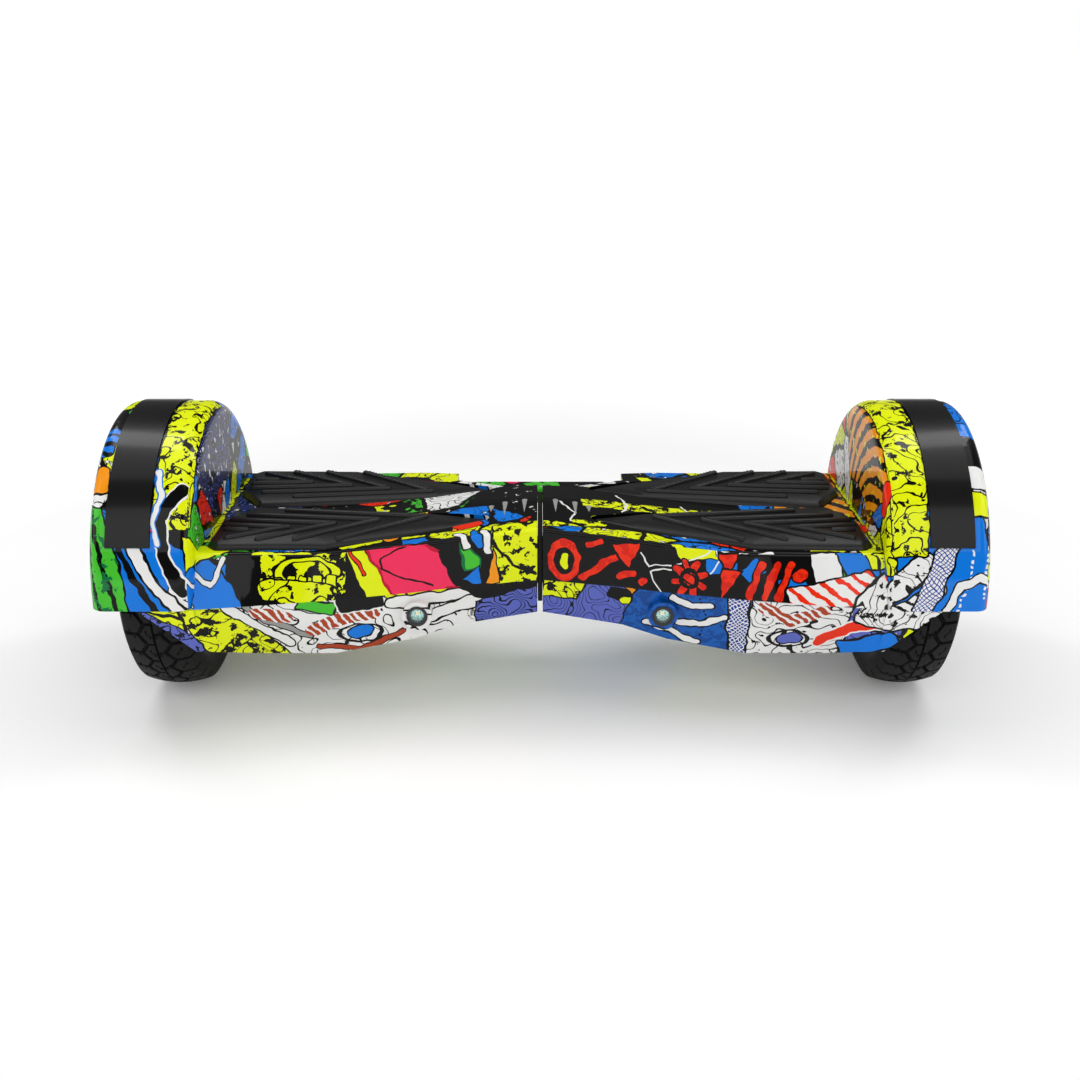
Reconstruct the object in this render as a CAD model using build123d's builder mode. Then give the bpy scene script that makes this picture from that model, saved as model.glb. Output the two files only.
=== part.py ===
from build123d import *
import os
from math import cos, radians, sin

# Self balancing hoverboard with 200 mm tyres, as an assembly of separate parts.
# Frame: millimetres, +X to the board's right, -Y to its front, +Z up. The origin is
# on the floor below the middle of the board. The board twists at its waist.

os.makedirs("parts", exist_ok=True)

# ---------------------------------------------------------------- driving sizes
wheel_diameter = 200.0          # over the tyre
tyre_width = 50.0
wheel_x = 270.0                 # middle of the board to the middle of the tyre
shell_wall = 3.0
fender_gap = 10.0               # tyre to the inside of the fender
fender_width = 70.0
seam_z = 98.0                   # where the upper and lower shells meet
deck_z = 132.0
belly_z = 49.0                  # lowest face of the lower shell
slit = 4.0                      # gap between the two halves at the waist
pivot_z = 92.0                  # axis of the waist pivot
pivot_tube_radius = 12.0
axle_radius = 8.0
chassis_top = 92.0
chassis_plate = 4.0

# ---------------------------------------------------------------- clearances
running = 0.03                  # radial, a turning shaft in its bore
pad_clearance = 0.6             # foot pad to the shell around it
pad_travel = 1.5
button_travel = 1.5
button_clearance = 0.3
body_gap = 0.4                  # between faces that turn past each other
twist_gap = 1.0                 # end of the carry handle to the other half

# ---------------------------------------------------------------- shell outlines
# Each station is an X position; the lists give the shell's section there.
wheel_radius = wheel_diameter / 2
axle_z = wheel_radius
fender_inner_x = wheel_x - 34.0
fender_outer_x = fender_inner_x + fender_width
fender_radius = wheel_radius + fender_gap + shell_wall
half_slit = slit / 2
station_x = [half_slit, 60.0, 91.0, 147.0, fender_inner_x - 31.0, fender_inner_x]
seam_half_depth = [56.0, 70.0, 80.0, 94.0, 105.0, 110.0]
rim_half_depth = [59.0, 75.0, 83.0, 90.0, 91.0, 91.0]
rim_rise = [6.0, 4.5, 3.0, 0.0, 0.0, 0.0]
crest_rise = [8.5, 5.5, 3.0, 0.0, 0.0, 0.0]
crest_half_width = 4.0
rim_round = 3.0                 # rounding along the front rim of the deck
belly_rise = [20.0, 15.5, 8.5, 0.0, 0.0, 13.0]
belly_inset = [8.0, 9.0, 10.0, 17.5, 28.5, 8.5]
lower_set_back = 1.5            # lower shell inside the upper shell's outline
fender_outer_round = 10.0
fender_inner_round = 12.0
wing_top_x = fender_inner_x + 40.0
wing_bottom_x = fender_inner_x - 8.0
wing_bottom_z = 50.0            # height of the slanting edge at wing_bottom_x
wing_half_depth = fender_radius - 1.5
wheel_well_gap = 4.0            # tyre to the wing's arch

# ---------------------------------------------------------------- rear waist notch
notch_x = 65.0
notch_y = 38.0
notch_far_y = 58.0
handle_inner_y = 65.0
handle_outer_y = 82.0
handle_top = 128.5
handle_thickness = 14.0

# ---------------------------------------------------------------- foot pads
pad_outline = [(30, -33), (78, -19), (212, -3.5), (231, -34), (231, -78), (224, -86), (147, -84), (66, -52)]
pad_thickness = 7.0             # below the deck
pad_rise = 4.5                  # above the deck
pad_bevel = 3.5
pad_corner = pad_bevel + 1.0    # rounding of the outline, more than the bevel
tub_gap = pad_travel + 0.8      # under the pad at rest
tub_floor = deck_z - pad_thickness - tub_gap
tub_skin = 2.5

# ---------------------------------------------------------------- lamps and ports
port_x = 87.0
port_z = 80.0
port_face_y = 80.0              # front face of a lamp's boss, to the front or the rear
boss_radius = 10.5
lamp_radius = 7.5
lens_radius = 5.5


def between(values, x):
    """Value at x of a size that is given at each station, in straight lines."""
    if x <= station_x[0]:
        return values[0]
    for near in range(len(station_x) - 1):
        if x <= station_x[near + 1]:
            share = (x - station_x[near]) / (station_x[near + 1] - station_x[near])
            return values[near] + share * (values[near + 1] - values[near])
    return values[-1]


def upper_section(x, wall):
    """Points of the upper shell's section at x, moved in by wall, from the seam up."""
    foot = between(seam_half_depth, x) - wall
    rim = between(rim_half_depth, x) - wall
    rim_z = deck_z + between(rim_rise, x) - wall
    crest_z = deck_z + between(crest_rise, x) - wall + 0.01
    base = seam_z - wall
    front = [(-foot, base), (-rim, rim_z), (-crest_half_width, crest_z)]
    return front + [(-y, z) for y, z in reversed(front)]


def lower_section(x, wall, top):
    """Points of the lower shell's section at x, moved in by wall, up to top."""
    seam = between(seam_half_depth, x) - lower_set_back - wall
    belly = seam - between(belly_inset, x)
    floor = belly_z + between(belly_rise, x) + wall
    slope = (seam - belly) / (seam_z - floor)
    mouth = seam + slope * (top - seam_z)
    return [(-mouth, top), (-belly, floor), (belly, floor), (mouth, top)]


def inner_stations(first, last):
    """Stations from first to last, with the ones between them."""
    return [first] + [x for x in station_x if first < x < last] + [last]


def mirrored(part):
    """The same part on the left of the board."""
    return mirror(part, about=Plane.YZ)


def save(part, name):
    """Label a finished part and write it."""
    part.label = name
    export_step(part, f"parts/{name}.step")


def save_pair(part, name):
    """Write a part of the right side and its mirror image on the left."""
    save(part, f"right_{name}")
    save(mirrored(part), f"left_{name}")


# ================================================================ shells
# Solid forms of the upper shell, and the space inside it.
with BuildPart() as upper_body:
    for x in inner_stations(half_slit, fender_inner_x + 1):
        with BuildSketch(Plane.YZ.offset(x)):
            Polygon(*upper_section(x, 0), align=None)
    loft(ruled=True)

with BuildPart() as upper_space:
    for x in inner_stations(half_slit + shell_wall, fender_inner_x):
        with BuildSketch(Plane.YZ.offset(x)):
            Polygon(*upper_section(x, shell_wall), align=None)
    loft(ruled=True)

with BuildPart() as fender_body:
    with BuildSketch(Plane.YZ.offset(fender_inner_x)):
        with Locations((0, axle_z)):
            Circle(fender_radius)
    extrude(amount=fender_width)
    fillet(fender_body.edges().group_by(Axis.X)[-1], radius=fender_outer_round)
    fillet(fender_body.edges().group_by(Axis.X)[0], radius=fender_inner_round)
    split(bisect_by=Plane.XY.offset(seam_z), keep=Keep.TOP)

with BuildPart() as fender_space:
    with BuildSketch(Plane.YZ.offset(fender_inner_x + shell_wall)):
        with Locations((0, axle_z)):
            Circle(fender_radius - shell_wall)
    extrude(amount=fender_width - 2 * shell_wall)
    fillet(fender_space.edges().group_by(Axis.X)[-1], radius=fender_outer_round - shell_wall)
    fillet(fender_space.edges().group_by(Axis.X)[0], radius=fender_inner_round - shell_wall)

# Solid forms of the lower shell, and the space inside it.
with BuildPart() as lower_body:
    for x in inner_stations(half_slit, fender_inner_x):
        with BuildSketch(Plane.YZ.offset(x)):
            Polygon(*lower_section(x, 0, seam_z), align=None)
    loft(ruled=True)
with BuildPart() as wing_body:
    with BuildSketch(Plane.YZ.offset(fender_inner_x)):
        wing_belly = seam_half_depth[-1] - lower_set_back - belly_inset[-1]
        wing_low_z = belly_z + belly_rise[-1]
        Polygon((-wing_half_depth, seam_z), (-wing_belly, wing_low_z), (wing_belly, wing_low_z),
                (wing_half_depth, seam_z), align=None)
    extrude(amount=wing_top_x - fender_inner_x)
with BuildPart() as lower_space:
    for x in inner_stations(half_slit + shell_wall, fender_inner_x):
        with BuildSketch(Plane.YZ.offset(x)):
            Polygon(*lower_section(x, shell_wall, seam_z + 1), align=None)
    loft(ruled=True)


def notch_outline(wall):
    """Plan of the hand space behind the waist, grown by wall."""
    far = handle_outer_y + 40
    return [(-1, notch_y - wall), (28 + wall, notch_y - wall), (notch_x - 3, notch_far_y - 1 - wall),
            (notch_x + wall, notch_far_y - wall), (notch_x + wall, far), (-1, far)]


def pad_plan(grow):
    """Plan of the right front foot pad, grown all round."""
    with BuildSketch(mode=Mode.PRIVATE) as plan:
        Polygon(*pad_outline, align=None)
        fillet(plan.vertices(), radius=pad_corner)
        offset(amount=grow, kind=Kind.ARC)
    return plan.sketch


def both_pads(plan):
    """The front pad's plan and its mirror image at the rear."""
    return [plan, mirror(plan, about=Plane.XZ)]


tub_opening = pad_plan(pad_clearance)
tub_outside = pad_plan(pad_clearance + tub_skin)
screw_places = [(92.0, 60.0), (160.0, 68.0), (215.0, 74.0)]
post_places = [(100.0, 40.0), (158.0, 52.0), (216.0, 50.0)]
peg_places = [(128.0, 48.0), (190.0, 48.0)]
both_ways = (1, -1)
boss_outer = 4.5
screw_shank = 1.6
screw_head = 3.2
screw_head_z = 72.0             # seat of the screw heads inside the belly's wells
screw_length = 40.0
peg_radius = 2.0
peg_hole = 3.5
peg_tip_z = tub_floor - tub_skin - 3.0

# Fender band, its groove and the light strip in it.
band_near_x = fender_inner_x + 27.0
band_width = 30.0
band_end_angle = 21.4           # above the horizontal, at the front and the rear
band_sink = 1.2
band_proud = 1.0
band_edge_gap = 0.3
strip_width = 12.0
strip_thickness = 1.0
fender_mouth = 88.0             # radius of the open side of the fender
axle_hole = 12.0

# Status windows: X, wide end and pointed end of each drop.
window_drops = [(11.5, 0.0, -26.0), (26.0, -4.0, -31.0), (36.0, -11.0, -23.0)]
window_half_width = 2.0


def wedge(first, last):
    """Sketch of the ring's sector between two angles about the axle, in the YZ plane."""
    reach = 2 * fender_radius
    middle = (first + last) / 2
    corners = [first, (first + middle) / 2, middle, (middle + last) / 2, last]
    rays = [(reach * cos(radians(a)), axle_z + reach * sin(radians(a))) for a in corners]
    return Polygon((0, axle_z), *rays, align=None, mode=Mode.INTERSECT)


def fender_ring(x, width, inner, outer, end_angle):
    """A strip of the fender's crown, between two radii about the axle."""
    with BuildPart() as ring:
        with BuildSketch(Plane.YZ.offset(x)):
            with Locations((0, axle_z)):
                Circle(outer)
                Circle(inner, mode=Mode.SUBTRACT)
            wedge(end_angle, 180 - end_angle)
        extrude(amount=width)
    return ring.part


def drop_plan(x, wide_y, tip_y):
    """Plan of one status window."""
    with BuildSketch(mode=Mode.PRIVATE) as drop:
        Polygon((x - window_half_width, wide_y), (x, tip_y), (x + window_half_width, wide_y), align=None)
        with Locations((x, wide_y)):
            Circle(window_half_width)
    return drop.sketch


with BuildPart() as upper_cavity:
    add(upper_space.part)
    with BuildSketch(Plane.XY.offset(seam_z - 10)):
        Polygon(*notch_outline(shell_wall), align=None)
    extrude(amount=100, mode=Mode.SUBTRACT)
    with BuildSketch(Plane.XY.offset(tub_floor - tub_skin)):
        add(both_pads(tub_outside))
    extrude(amount=60, mode=Mode.SUBTRACT)
    with BuildSketch(Plane.XY.offset(seam_z - 10)):
        for x, y in screw_places:
            with Locations((x, y), (x, -y)):
                Circle(boss_outer)
    extrude(amount=60, mode=Mode.SUBTRACT)

with BuildPart() as upper_shell:
    add(upper_body.part)
    add(fender_body.part)
    with BuildSketch(Plane.XY.offset(seam_z - 1)):
        Polygon(*notch_outline(0), align=None)
    extrude(amount=80, mode=Mode.SUBTRACT)
    front_edges = upper_shell.edges().filter_by(lambda e: e.center().Y < -notch_far_y + 8)
    deck_edges = front_edges.filter_by(lambda e: e.center().Z > deck_z - 2)
    rim_edges = deck_edges.filter_by(lambda e: e.center().X < fender_inner_x - 5)
    fillet(rim_edges.filter_by(lambda e: abs(e.tangent_at(0.5).X) > 0.8), radius=rim_round)
    add(upper_cavity.part, mode=Mode.SUBTRACT)
    add(fender_space.part, mode=Mode.SUBTRACT)
    with BuildSketch(Plane.XY.offset(tub_floor)):
        add(both_pads(tub_opening))
    extrude(amount=60, mode=Mode.SUBTRACT)
    with BuildSketch(Plane.XY.offset(tub_floor - 10)):
        for x, y in peg_places:
            with Locations((x, y), (x, -y)):
                Circle(peg_hole)
    extrude(amount=15, mode=Mode.SUBTRACT)
    with BuildSketch(Plane.XY.offset(seam_z - 1)):
        for x, y in screw_places:
            with Locations((x, y), (x, -y)):
                Circle(screw_shank)
    extrude(amount=screw_head_z + screw_length - seam_z + 1, mode=Mode.SUBTRACT)
    with BuildSketch(Plane.XY.offset(deck_z - 12)):
        for drop in window_drops:
            add(drop_plan(*drop))
    extrude(amount=40, mode=Mode.SUBTRACT)
    add(fender_ring(band_near_x - band_edge_gap, band_width + 2 * band_edge_gap,
                    fender_radius - band_sink, fender_radius + 5, band_end_angle - 0.2), mode=Mode.SUBTRACT)
    with BuildSketch(Plane.YZ.offset(fender_outer_x - 2 * shell_wall)):
        with Locations((0, axle_z)):
            Circle(fender_mouth)
    extrude(amount=4 * shell_wall, mode=Mode.SUBTRACT)
    with BuildSketch(Plane.YZ.offset(fender_inner_x - shell_wall)):
        with Locations((0, axle_z)):
            Circle(axle_hole)
    extrude(amount=4 * shell_wall, mode=Mode.SUBTRACT)
    with BuildSketch(Plane.YZ.offset(half_slit - 1)):
        with Locations((0, pivot_z)):
            Circle(pivot_tube_radius + 9)
    extrude(amount=shell_wall + 2, mode=Mode.SUBTRACT)
    split(bisect_by=Plane.XY.offset(seam_z), keep=Keep.TOP)
save_pair(upper_shell.part, "upper_shell")

wing_run = wing_top_x - wing_bottom_x
wing_drop = seam_z + 1 - wing_bottom_z
grille_x = 185.0
grille_hole = 1.3
grille_rings = [(0.0, 1), (5.0, 6), (10.0, 12)]
lower_boss = 5.0
port_pocket = 7.0               # how far a lamp or port goes in behind its face


def outboard_cut(shift):
    """Profile of what the slanting edge beside the tyre leaves out, in the XZ plane."""
    slope = wing_run / wing_drop
    low = belly_z - 10
    low_x = wing_bottom_x - slope * (wing_bottom_z - low) - shift
    top = seam_z + 20
    top_x = wing_top_x + slope * (top - seam_z - 1) - shift
    return [(low_x, low), (top_x, top), (top_x + 200, top), (top_x + 200, low)]


def port_boss(facing):
    """Boss that carries a lamp at the front (-1) or a port at the rear (+1)."""
    with BuildPart() as boss:
        with BuildSketch(Plane.XZ.offset(-facing * port_face_y)):
            with Locations((port_x, port_z)):
                Circle(boss_radius)
        extrude(amount=facing * (port_pocket + 4))
    return boss.part


front_boss = port_boss(-1)
rear_boss = port_boss(1)

with BuildPart() as lower_cavity:
    add(lower_space.part)
    with BuildSketch(Plane.XY.offset(belly_z - 10)):
        Polygon(*notch_outline(shell_wall), align=None)
    extrude(amount=100, mode=Mode.SUBTRACT)
    with BuildSketch(Plane.XZ.offset(-150)):
        Polygon(*outboard_cut(1.5 * shell_wall), align=None)
    extrude(amount=300, mode=Mode.SUBTRACT)
    add(front_boss, mode=Mode.SUBTRACT)
    add(rear_boss, mode=Mode.SUBTRACT)
    with BuildSketch(Plane.XY.offset(belly_z)):
        for x, y in screw_places:
            with Locations((x, y), (x, -y)):
                Circle(lower_boss)
    extrude(amount=seam_z - belly_z + 2, mode=Mode.SUBTRACT)


def lower_shell(grille):
    """Lower shell of the right side, with the speaker's holes if it has a grille."""
    with BuildPart() as shell:
        add(lower_body.part)
        add(wing_body.part)
        add(front_boss)
        add(rear_boss)
        with BuildSketch(Plane.XY.offset(belly_z - 10)):
            Polygon(*notch_outline(0), align=None)
        extrude(amount=100, mode=Mode.SUBTRACT)
        with BuildSketch(Plane.XZ.offset(-150)):
            Polygon(*outboard_cut(0), align=None)
        extrude(amount=300, mode=Mode.SUBTRACT)
        with BuildSketch(Plane.YZ.offset(fender_inner_x + shell_wall)):
            with Locations((0, axle_z)):
                Circle(wheel_radius + wheel_well_gap)
        extrude(amount=fender_width, mode=Mode.SUBTRACT)
        add(lower_cavity.part, mode=Mode.SUBTRACT)
        for facing in both_ways:
            with BuildSketch(Plane.XZ.offset(-facing * (port_face_y + 2))):
                with Locations((port_x, port_z)):
                    Circle(lamp_radius)
            extrude(amount=facing * (port_pocket + 12), mode=Mode.SUBTRACT)
        with BuildSketch(Plane.XY.offset(belly_z - 5)):
            for x, y in screw_places:
                with Locations((x, y), (x, -y)):
                    Circle(screw_head + 0.3)
        extrude(amount=screw_head_z - belly_z + 5, mode=Mode.SUBTRACT)
        with BuildSketch(Plane.XY.offset(belly_z - 5)):
            for x, y in screw_places:
                with Locations((x, y), (x, -y)):
                    Circle(screw_shank)
        extrude(amount=80, mode=Mode.SUBTRACT)
        with BuildSketch(Plane.YZ.offset(fender_inner_x - shell_wall)):
            with Locations((0, axle_z)):
                Circle(axle_hole)
        extrude(amount=4 * shell_wall, mode=Mode.SUBTRACT)
        with BuildSketch(Plane.YZ.offset(half_slit - 1)):
            with Locations((0, pivot_z)):
                Circle(pivot_tube_radius + 9)
        extrude(amount=shell_wall + 2, mode=Mode.SUBTRACT)
        if grille:
            with BuildSketch(Plane.XY.offset(belly_z - 5)):
                with Locations((grille_x, 0)):
                    for ring, count in grille_rings:
                        with PolarLocations(ring, count):
                            Circle(grille_hole)
            extrude(amount=shell_wall + 6, mode=Mode.SUBTRACT)
    return shell.part


save(lower_shell(False), "right_lower_shell")
save(mirrored(lower_shell(True)), "left_lower_shell")

# ================================================================ trim on the shells
band_bottom = fender_radius - band_sink
strip_x = band_near_x + (band_width - strip_width) / 2
with BuildPart() as fender_band:
    add(fender_ring(band_near_x, band_width, band_bottom, fender_radius + band_proud, band_end_angle))
    add(fender_ring(strip_x - 0.5, strip_width + 1, band_bottom - 1, band_bottom + strip_thickness + 0.2,
                    band_end_angle + 2), mode=Mode.SUBTRACT)
save_pair(fender_band.part, "fender_band")
save_pair(fender_ring(strip_x, strip_width, band_bottom, band_bottom + strip_thickness,
                      band_end_angle + 3), "light_strip")

with BuildPart() as status_windows:
    with BuildSketch(Plane.XY.offset(deck_z - 12)):
        for drop in window_drops:
            add(drop_plan(*drop))
    extrude(amount=40)
    add(upper_body.part, mode=Mode.INTERSECT)
    add(upper_space.part, mode=Mode.SUBTRACT)
save_pair(status_windows.part, "status_windows")

pad_base_z = deck_z - pad_thickness
with BuildPart() as foot_pad:
    with BuildSketch(Plane.XY.offset(pad_base_z)):
        add(pad_plan(0))
    extrude(amount=pad_thickness + pad_rise)
    chamfer(foot_pad.edges().group_by(Axis.Z)[-1], length=pad_bevel)
    with BuildSketch(Plane.XY.offset(peg_tip_z)):
        for x, y in peg_places:
            with Locations((x, -y)):
                Circle(peg_radius)
    extrude(amount=pad_base_z - peg_tip_z)
save_pair(foot_pad.part, "front_foot_pad")
save_pair(mirror(foot_pad.part, about=Plane.XZ), "rear_foot_pad")

switch_width = 14.0
switch_depth = 8.0
switch_slot = 6.5
switch_bottom_z = tub_floor - tub_skin - 10.0
with BuildPart() as pad_switches:
    with BuildSketch(Plane.XY.offset(switch_bottom_z)):
        for x, y in peg_places:
            with Locations((x, y), (x, -y)):
                Rectangle(switch_width, switch_depth)
    extrude(amount=10)
    with BuildSketch(Plane.XY.offset(peg_tip_z - pad_travel - 1.5)):
        for x, y in peg_places:
            with Locations((x, y), (x, -y)):
                Rectangle(switch_slot, switch_depth + 2)
    extrude(amount=10, mode=Mode.SUBTRACT)
save_pair(pad_switches.part, "pad_switches")

with BuildPart() as shell_screws:
    with BuildSketch(Plane.XY.offset(screw_head_z - 2.5)):
        for x, y in screw_places:
            with Locations((x, y), (x, -y)):
                Circle(screw_head)
                RegularPolygon(1.5, 6, mode=Mode.SUBTRACT)
    extrude(amount=2.5)
    with BuildSketch(Plane.XY.offset(screw_head_z)):
        for x, y in screw_places:
            with Locations((x, y), (x, -y)):
                Circle(screw_shank)
    extrude(amount=screw_length - 1)
save_pair(shell_screws.part, "shell_screws")

# ================================================================ chassis, pivot and axle
housing_radius = 19.0
housing_near_x = 6.0
housing_far_x = 84.0
bush_wall = 3.0
bush_length = 20.0
tube_overhang = 5.0             # of the pivot tube past its housings
circlip_radius = pivot_tube_radius + 4
saddle_near_x = fender_inner_x - 31.0
saddle_length = 26.0
saddle_half_width = 24.0
chassis_outline = [(housing_near_x + 2, 18), (60, 24), (85, 50), (110, 58), (200, 60),
                   (fender_inner_x - 5, 44)]
rail_height = 9.0
post_radius = 5.0
clamp_height = 10.0
clamp_bolt_y = 16.0
clamp_bolt_radius = 3.0


def chassis(bore):
    """Cast frame of the right side, with the given bore for the waist pivot."""
    with BuildPart() as frame:
        with BuildSketch(Plane.XY.offset(chassis_top - chassis_plate)):
            Polygon(*chassis_outline, *[(x, -y) for x, y in reversed(chassis_outline)], align=None)
            with Locations((150, 0)):
                RectangleRounded(60, 26, 6, mode=Mode.SUBTRACT)
        extrude(amount=chassis_plate)
        with BuildSketch(Plane.XY.offset(chassis_top)):
            with Locations((145, 32), (145, -32)):
                Rectangle(120, 4)
        extrude(amount=rail_height)
        with BuildSketch(Plane.XY.offset(chassis_top)):
            for x, y in post_places:
                with Locations((x, y), (x, -y)):
                    Circle(post_radius)
        extrude(amount=tub_floor - tub_skin - chassis_top)
        with BuildSketch(Plane.YZ.offset(housing_near_x)):
            with Locations((0, pivot_z)):
                Circle(housing_radius)
        extrude(amount=housing_far_x - housing_near_x)
        with BuildSketch(Plane.XY.offset(chassis_top - chassis_plate)):
            with Locations((saddle_near_x + saddle_length / 2, 0)):
                Rectangle(saddle_length, 2 * saddle_half_width)
        extrude(amount=axle_z - chassis_top + chassis_plate)
        with BuildSketch(Plane.YZ.offset(housing_near_x - 1)):
            with Locations((0, pivot_z)):
                Circle(bore)
        extrude(amount=housing_far_x - housing_near_x + 2, mode=Mode.SUBTRACT)
        with BuildSketch(Plane.YZ.offset(housing_far_x)):
            with Locations((0, pivot_z)):
                Circle(circlip_radius + 1)
        extrude(amount=tube_overhang + 2, mode=Mode.SUBTRACT)
        with BuildSketch(Plane.YZ.offset(saddle_near_x - 1)):
            with Locations((0, axle_z)):
                Circle(axle_radius)
        extrude(amount=saddle_length + 2, mode=Mode.SUBTRACT)
    return frame.part


save(chassis(pivot_tube_radius + bush_wall), "right_chassis")
save(mirrored(chassis(pivot_tube_radius)), "left_chassis")

with BuildPart() as axle_clamp:
    with BuildSketch(Plane.XY.offset(axle_z)):
        with Locations((saddle_near_x + saddle_length / 2, 0)):
            Rectangle(saddle_length, 2 * saddle_half_width)
    extrude(amount=clamp_height)
    fillet(axle_clamp.edges().filter_by(Axis.X).group_by(Axis.Z)[-1], radius=4)
    with BuildSketch(Plane.YZ.offset(saddle_near_x - 1)):
        with Locations((0, axle_z)):
            Circle(axle_radius)
    extrude(amount=saddle_length + 2, mode=Mode.SUBTRACT)
    with BuildSketch(Plane.XY.offset(axle_z + clamp_height)):
        with Locations((saddle_near_x + 6, 0), (saddle_near_x + 20, 0)):
            with GridLocations(1, 2 * clamp_bolt_y, 1, 2):
                RegularPolygon(clamp_bolt_radius + 2, 6)
    extrude(amount=4)
save_pair(axle_clamp.part, "axle_clamp")

with BuildPart() as pivot_tube:
    with BuildSketch(Plane.YZ.offset(-housing_far_x - tube_overhang)):
        with Locations((0, pivot_z)):
            Circle(pivot_tube_radius)
            Circle(pivot_tube_radius - 3, mode=Mode.SUBTRACT)
    extrude(amount=2 * (housing_far_x + tube_overhang))
save(pivot_tube.part, "pivot_tube")

with BuildPart() as pivot_bushes:
    for start in (housing_near_x, housing_far_x - bush_length):
        with BuildSketch(Plane.YZ.offset(start)):
            with Locations((0, pivot_z)):
                Circle(pivot_tube_radius + bush_wall)
                Circle(pivot_tube_radius + running, mode=Mode.SUBTRACT)
        extrude(amount=bush_length)
save(pivot_bushes.part, "pivot_bushes")

with BuildPart() as pivot_washer:
    with BuildSketch(Plane.YZ.offset(-housing_near_x)):
        with Locations((0, pivot_z)):
            Circle(housing_radius - 1)
            Circle(pivot_tube_radius, mode=Mode.SUBTRACT)
    extrude(amount=2 * housing_near_x - body_gap)
save(pivot_washer.part, "pivot_washer")

with BuildPart() as pivot_circlip:
    with BuildSketch(Plane.YZ.offset(housing_far_x + body_gap)):
        with Locations((0, pivot_z)):
            Circle(circlip_radius)
            Circle(pivot_tube_radius, mode=Mode.SUBTRACT)
        with Locations((0, pivot_z + pivot_tube_radius + 2)):
            Rectangle(5, 8, mode=Mode.SUBTRACT)
    extrude(amount=2)
save(pivot_circlip.part, "pivot_circlip")

# ================================================================ wheels and hub motors
rim_seat = 70.0                 # radius where the tyre sits
rim_inside = 64.0
rim_half_width = 23.0
cover_thickness = 4.0
bearing_radius = 17.0
bearing_width = 8.0
magnet_thickness = 3.2
magnet_width = 11.0
motor_width = 24.0
magnet_count = 30
slot_count = 27
stator_radius = 59.0
stator_yoke = 44.0
axle_line = Axis((0, 0, axle_z), (1, 0, 0))


def tyre_points(points):
    """Points (x from the wheel's middle, radius) in the plane through the axle."""
    return [(wheel_x + x, axle_z + r) for x, r in points]


def wheel_profile(points):
    """Ring about the axle from (x from the wheel's middle, radius) corners."""
    Polygon(*tyre_points(points), align=None)


bead_half_width = 21.0
rim_lip = rim_seat + 4
shoulder = (0.82 * tyre_width / 2, wheel_radius - 3.5)
bulge = (tyre_width / 2, wheel_radius - 16.0)
with BuildPart() as tyre:
    with BuildSketch(Plane.XZ):
        with BuildLine():
            Polyline(*tyre_points([(-bead_half_width, rim_lip), (-bead_half_width, rim_seat),
                                   (bead_half_width, rim_seat), (bead_half_width, rim_lip)]))
            ThreePointArc(*tyre_points([(bead_half_width, rim_lip), bulge, shoulder]))
            ThreePointArc(*tyre_points([shoulder, (0, wheel_radius), (-shoulder[0], shoulder[1])]))
            ThreePointArc(*tyre_points([(-shoulder[0], shoulder[1]), (-bulge[0], bulge[1]),
                                        (-bead_half_width, rim_lip)]))
        make_face()
    revolve(axis=axle_line)
save_pair(tyre.part, "tyre")

with BuildPart() as rim:
    outer = rim_half_width
    with BuildSketch(Plane.XZ):
        wheel_profile([(-outer, rim_inside), (-outer, rim_lip), (-bead_half_width, rim_lip),
                       (-bead_half_width, rim_seat), (bead_half_width, rim_seat), (bead_half_width, rim_lip),
                       (outer, rim_lip), (outer, rim_inside - 6), (outer - 2, rim_inside - 10),
                       (outer - 2, bearing_radius + 5), (outer, bearing_radius + 3),
                       (outer, bearing_radius), (outer - cover_thickness - 4, bearing_radius),
                       (outer - cover_thickness - 4, bearing_radius + 4),
                       (outer - cover_thickness - 1, bearing_radius + 8),
                       (outer - cover_thickness - 1, rim_inside), (outer - 12, rim_inside)])
    revolve(axis=axle_line)
    with BuildSketch(Plane.YZ.offset(wheel_x + outer - 2)):
        with Locations((0, axle_z)):
            with PolarLocations(38, 9):
                Rectangle(32, 7)
    extrude(amount=1.6)
save_pair(rim.part, "motor_rim")

with BuildPart() as motor_cover:
    with BuildSketch(Plane.XZ):
        wheel_profile([(-rim_half_width, rim_inside), (-rim_half_width, bearing_radius),
                       (-rim_half_width + cover_thickness + 4, bearing_radius),
                       (-rim_half_width + cover_thickness + 4, bearing_radius + 4),
                       (-rim_half_width + cover_thickness, bearing_radius + 8),
                       (-rim_half_width + cover_thickness, rim_inside)])
    revolve(axis=axle_line)
    with BuildSketch(Plane.YZ.offset(wheel_x - rim_half_width)):
        with Locations((0, axle_z)):
            with PolarLocations(rim_inside - 6, 12):
                Circle(2.6)
    extrude(amount=-1.4)
save_pair(motor_cover.part, "motor_cover")

with BuildPart() as magnets:
    with BuildSketch(Plane.YZ.offset(wheel_x - motor_width / 2)):
        with Locations((0, axle_z)):
            with PolarLocations(rim_inside - 0.6 - magnet_thickness / 2, magnet_count):
                Rectangle(magnet_thickness, magnet_width)
    extrude(amount=motor_width)
save_pair(magnets.part, "magnets")

with BuildPart() as hub_bearings:
    for start in (wheel_x - rim_half_width, wheel_x + rim_half_width - bearing_width):
        with BuildSketch(Plane.YZ.offset(start)):
            with Locations((0, axle_z)):
                Circle(bearing_radius)
                Circle(axle_radius + running, mode=Mode.SUBTRACT)
        extrude(amount=bearing_width)
        with BuildSketch(Plane.YZ.offset(start - 0.01)):
            with Locations((0, axle_z)):
                Circle(bearing_radius - 2.5)
                Circle(axle_radius + 2.5, mode=Mode.SUBTRACT)
        extrude(amount=0.6, mode=Mode.SUBTRACT)
save_pair(hub_bearings.part, "hub_bearings")

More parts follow.
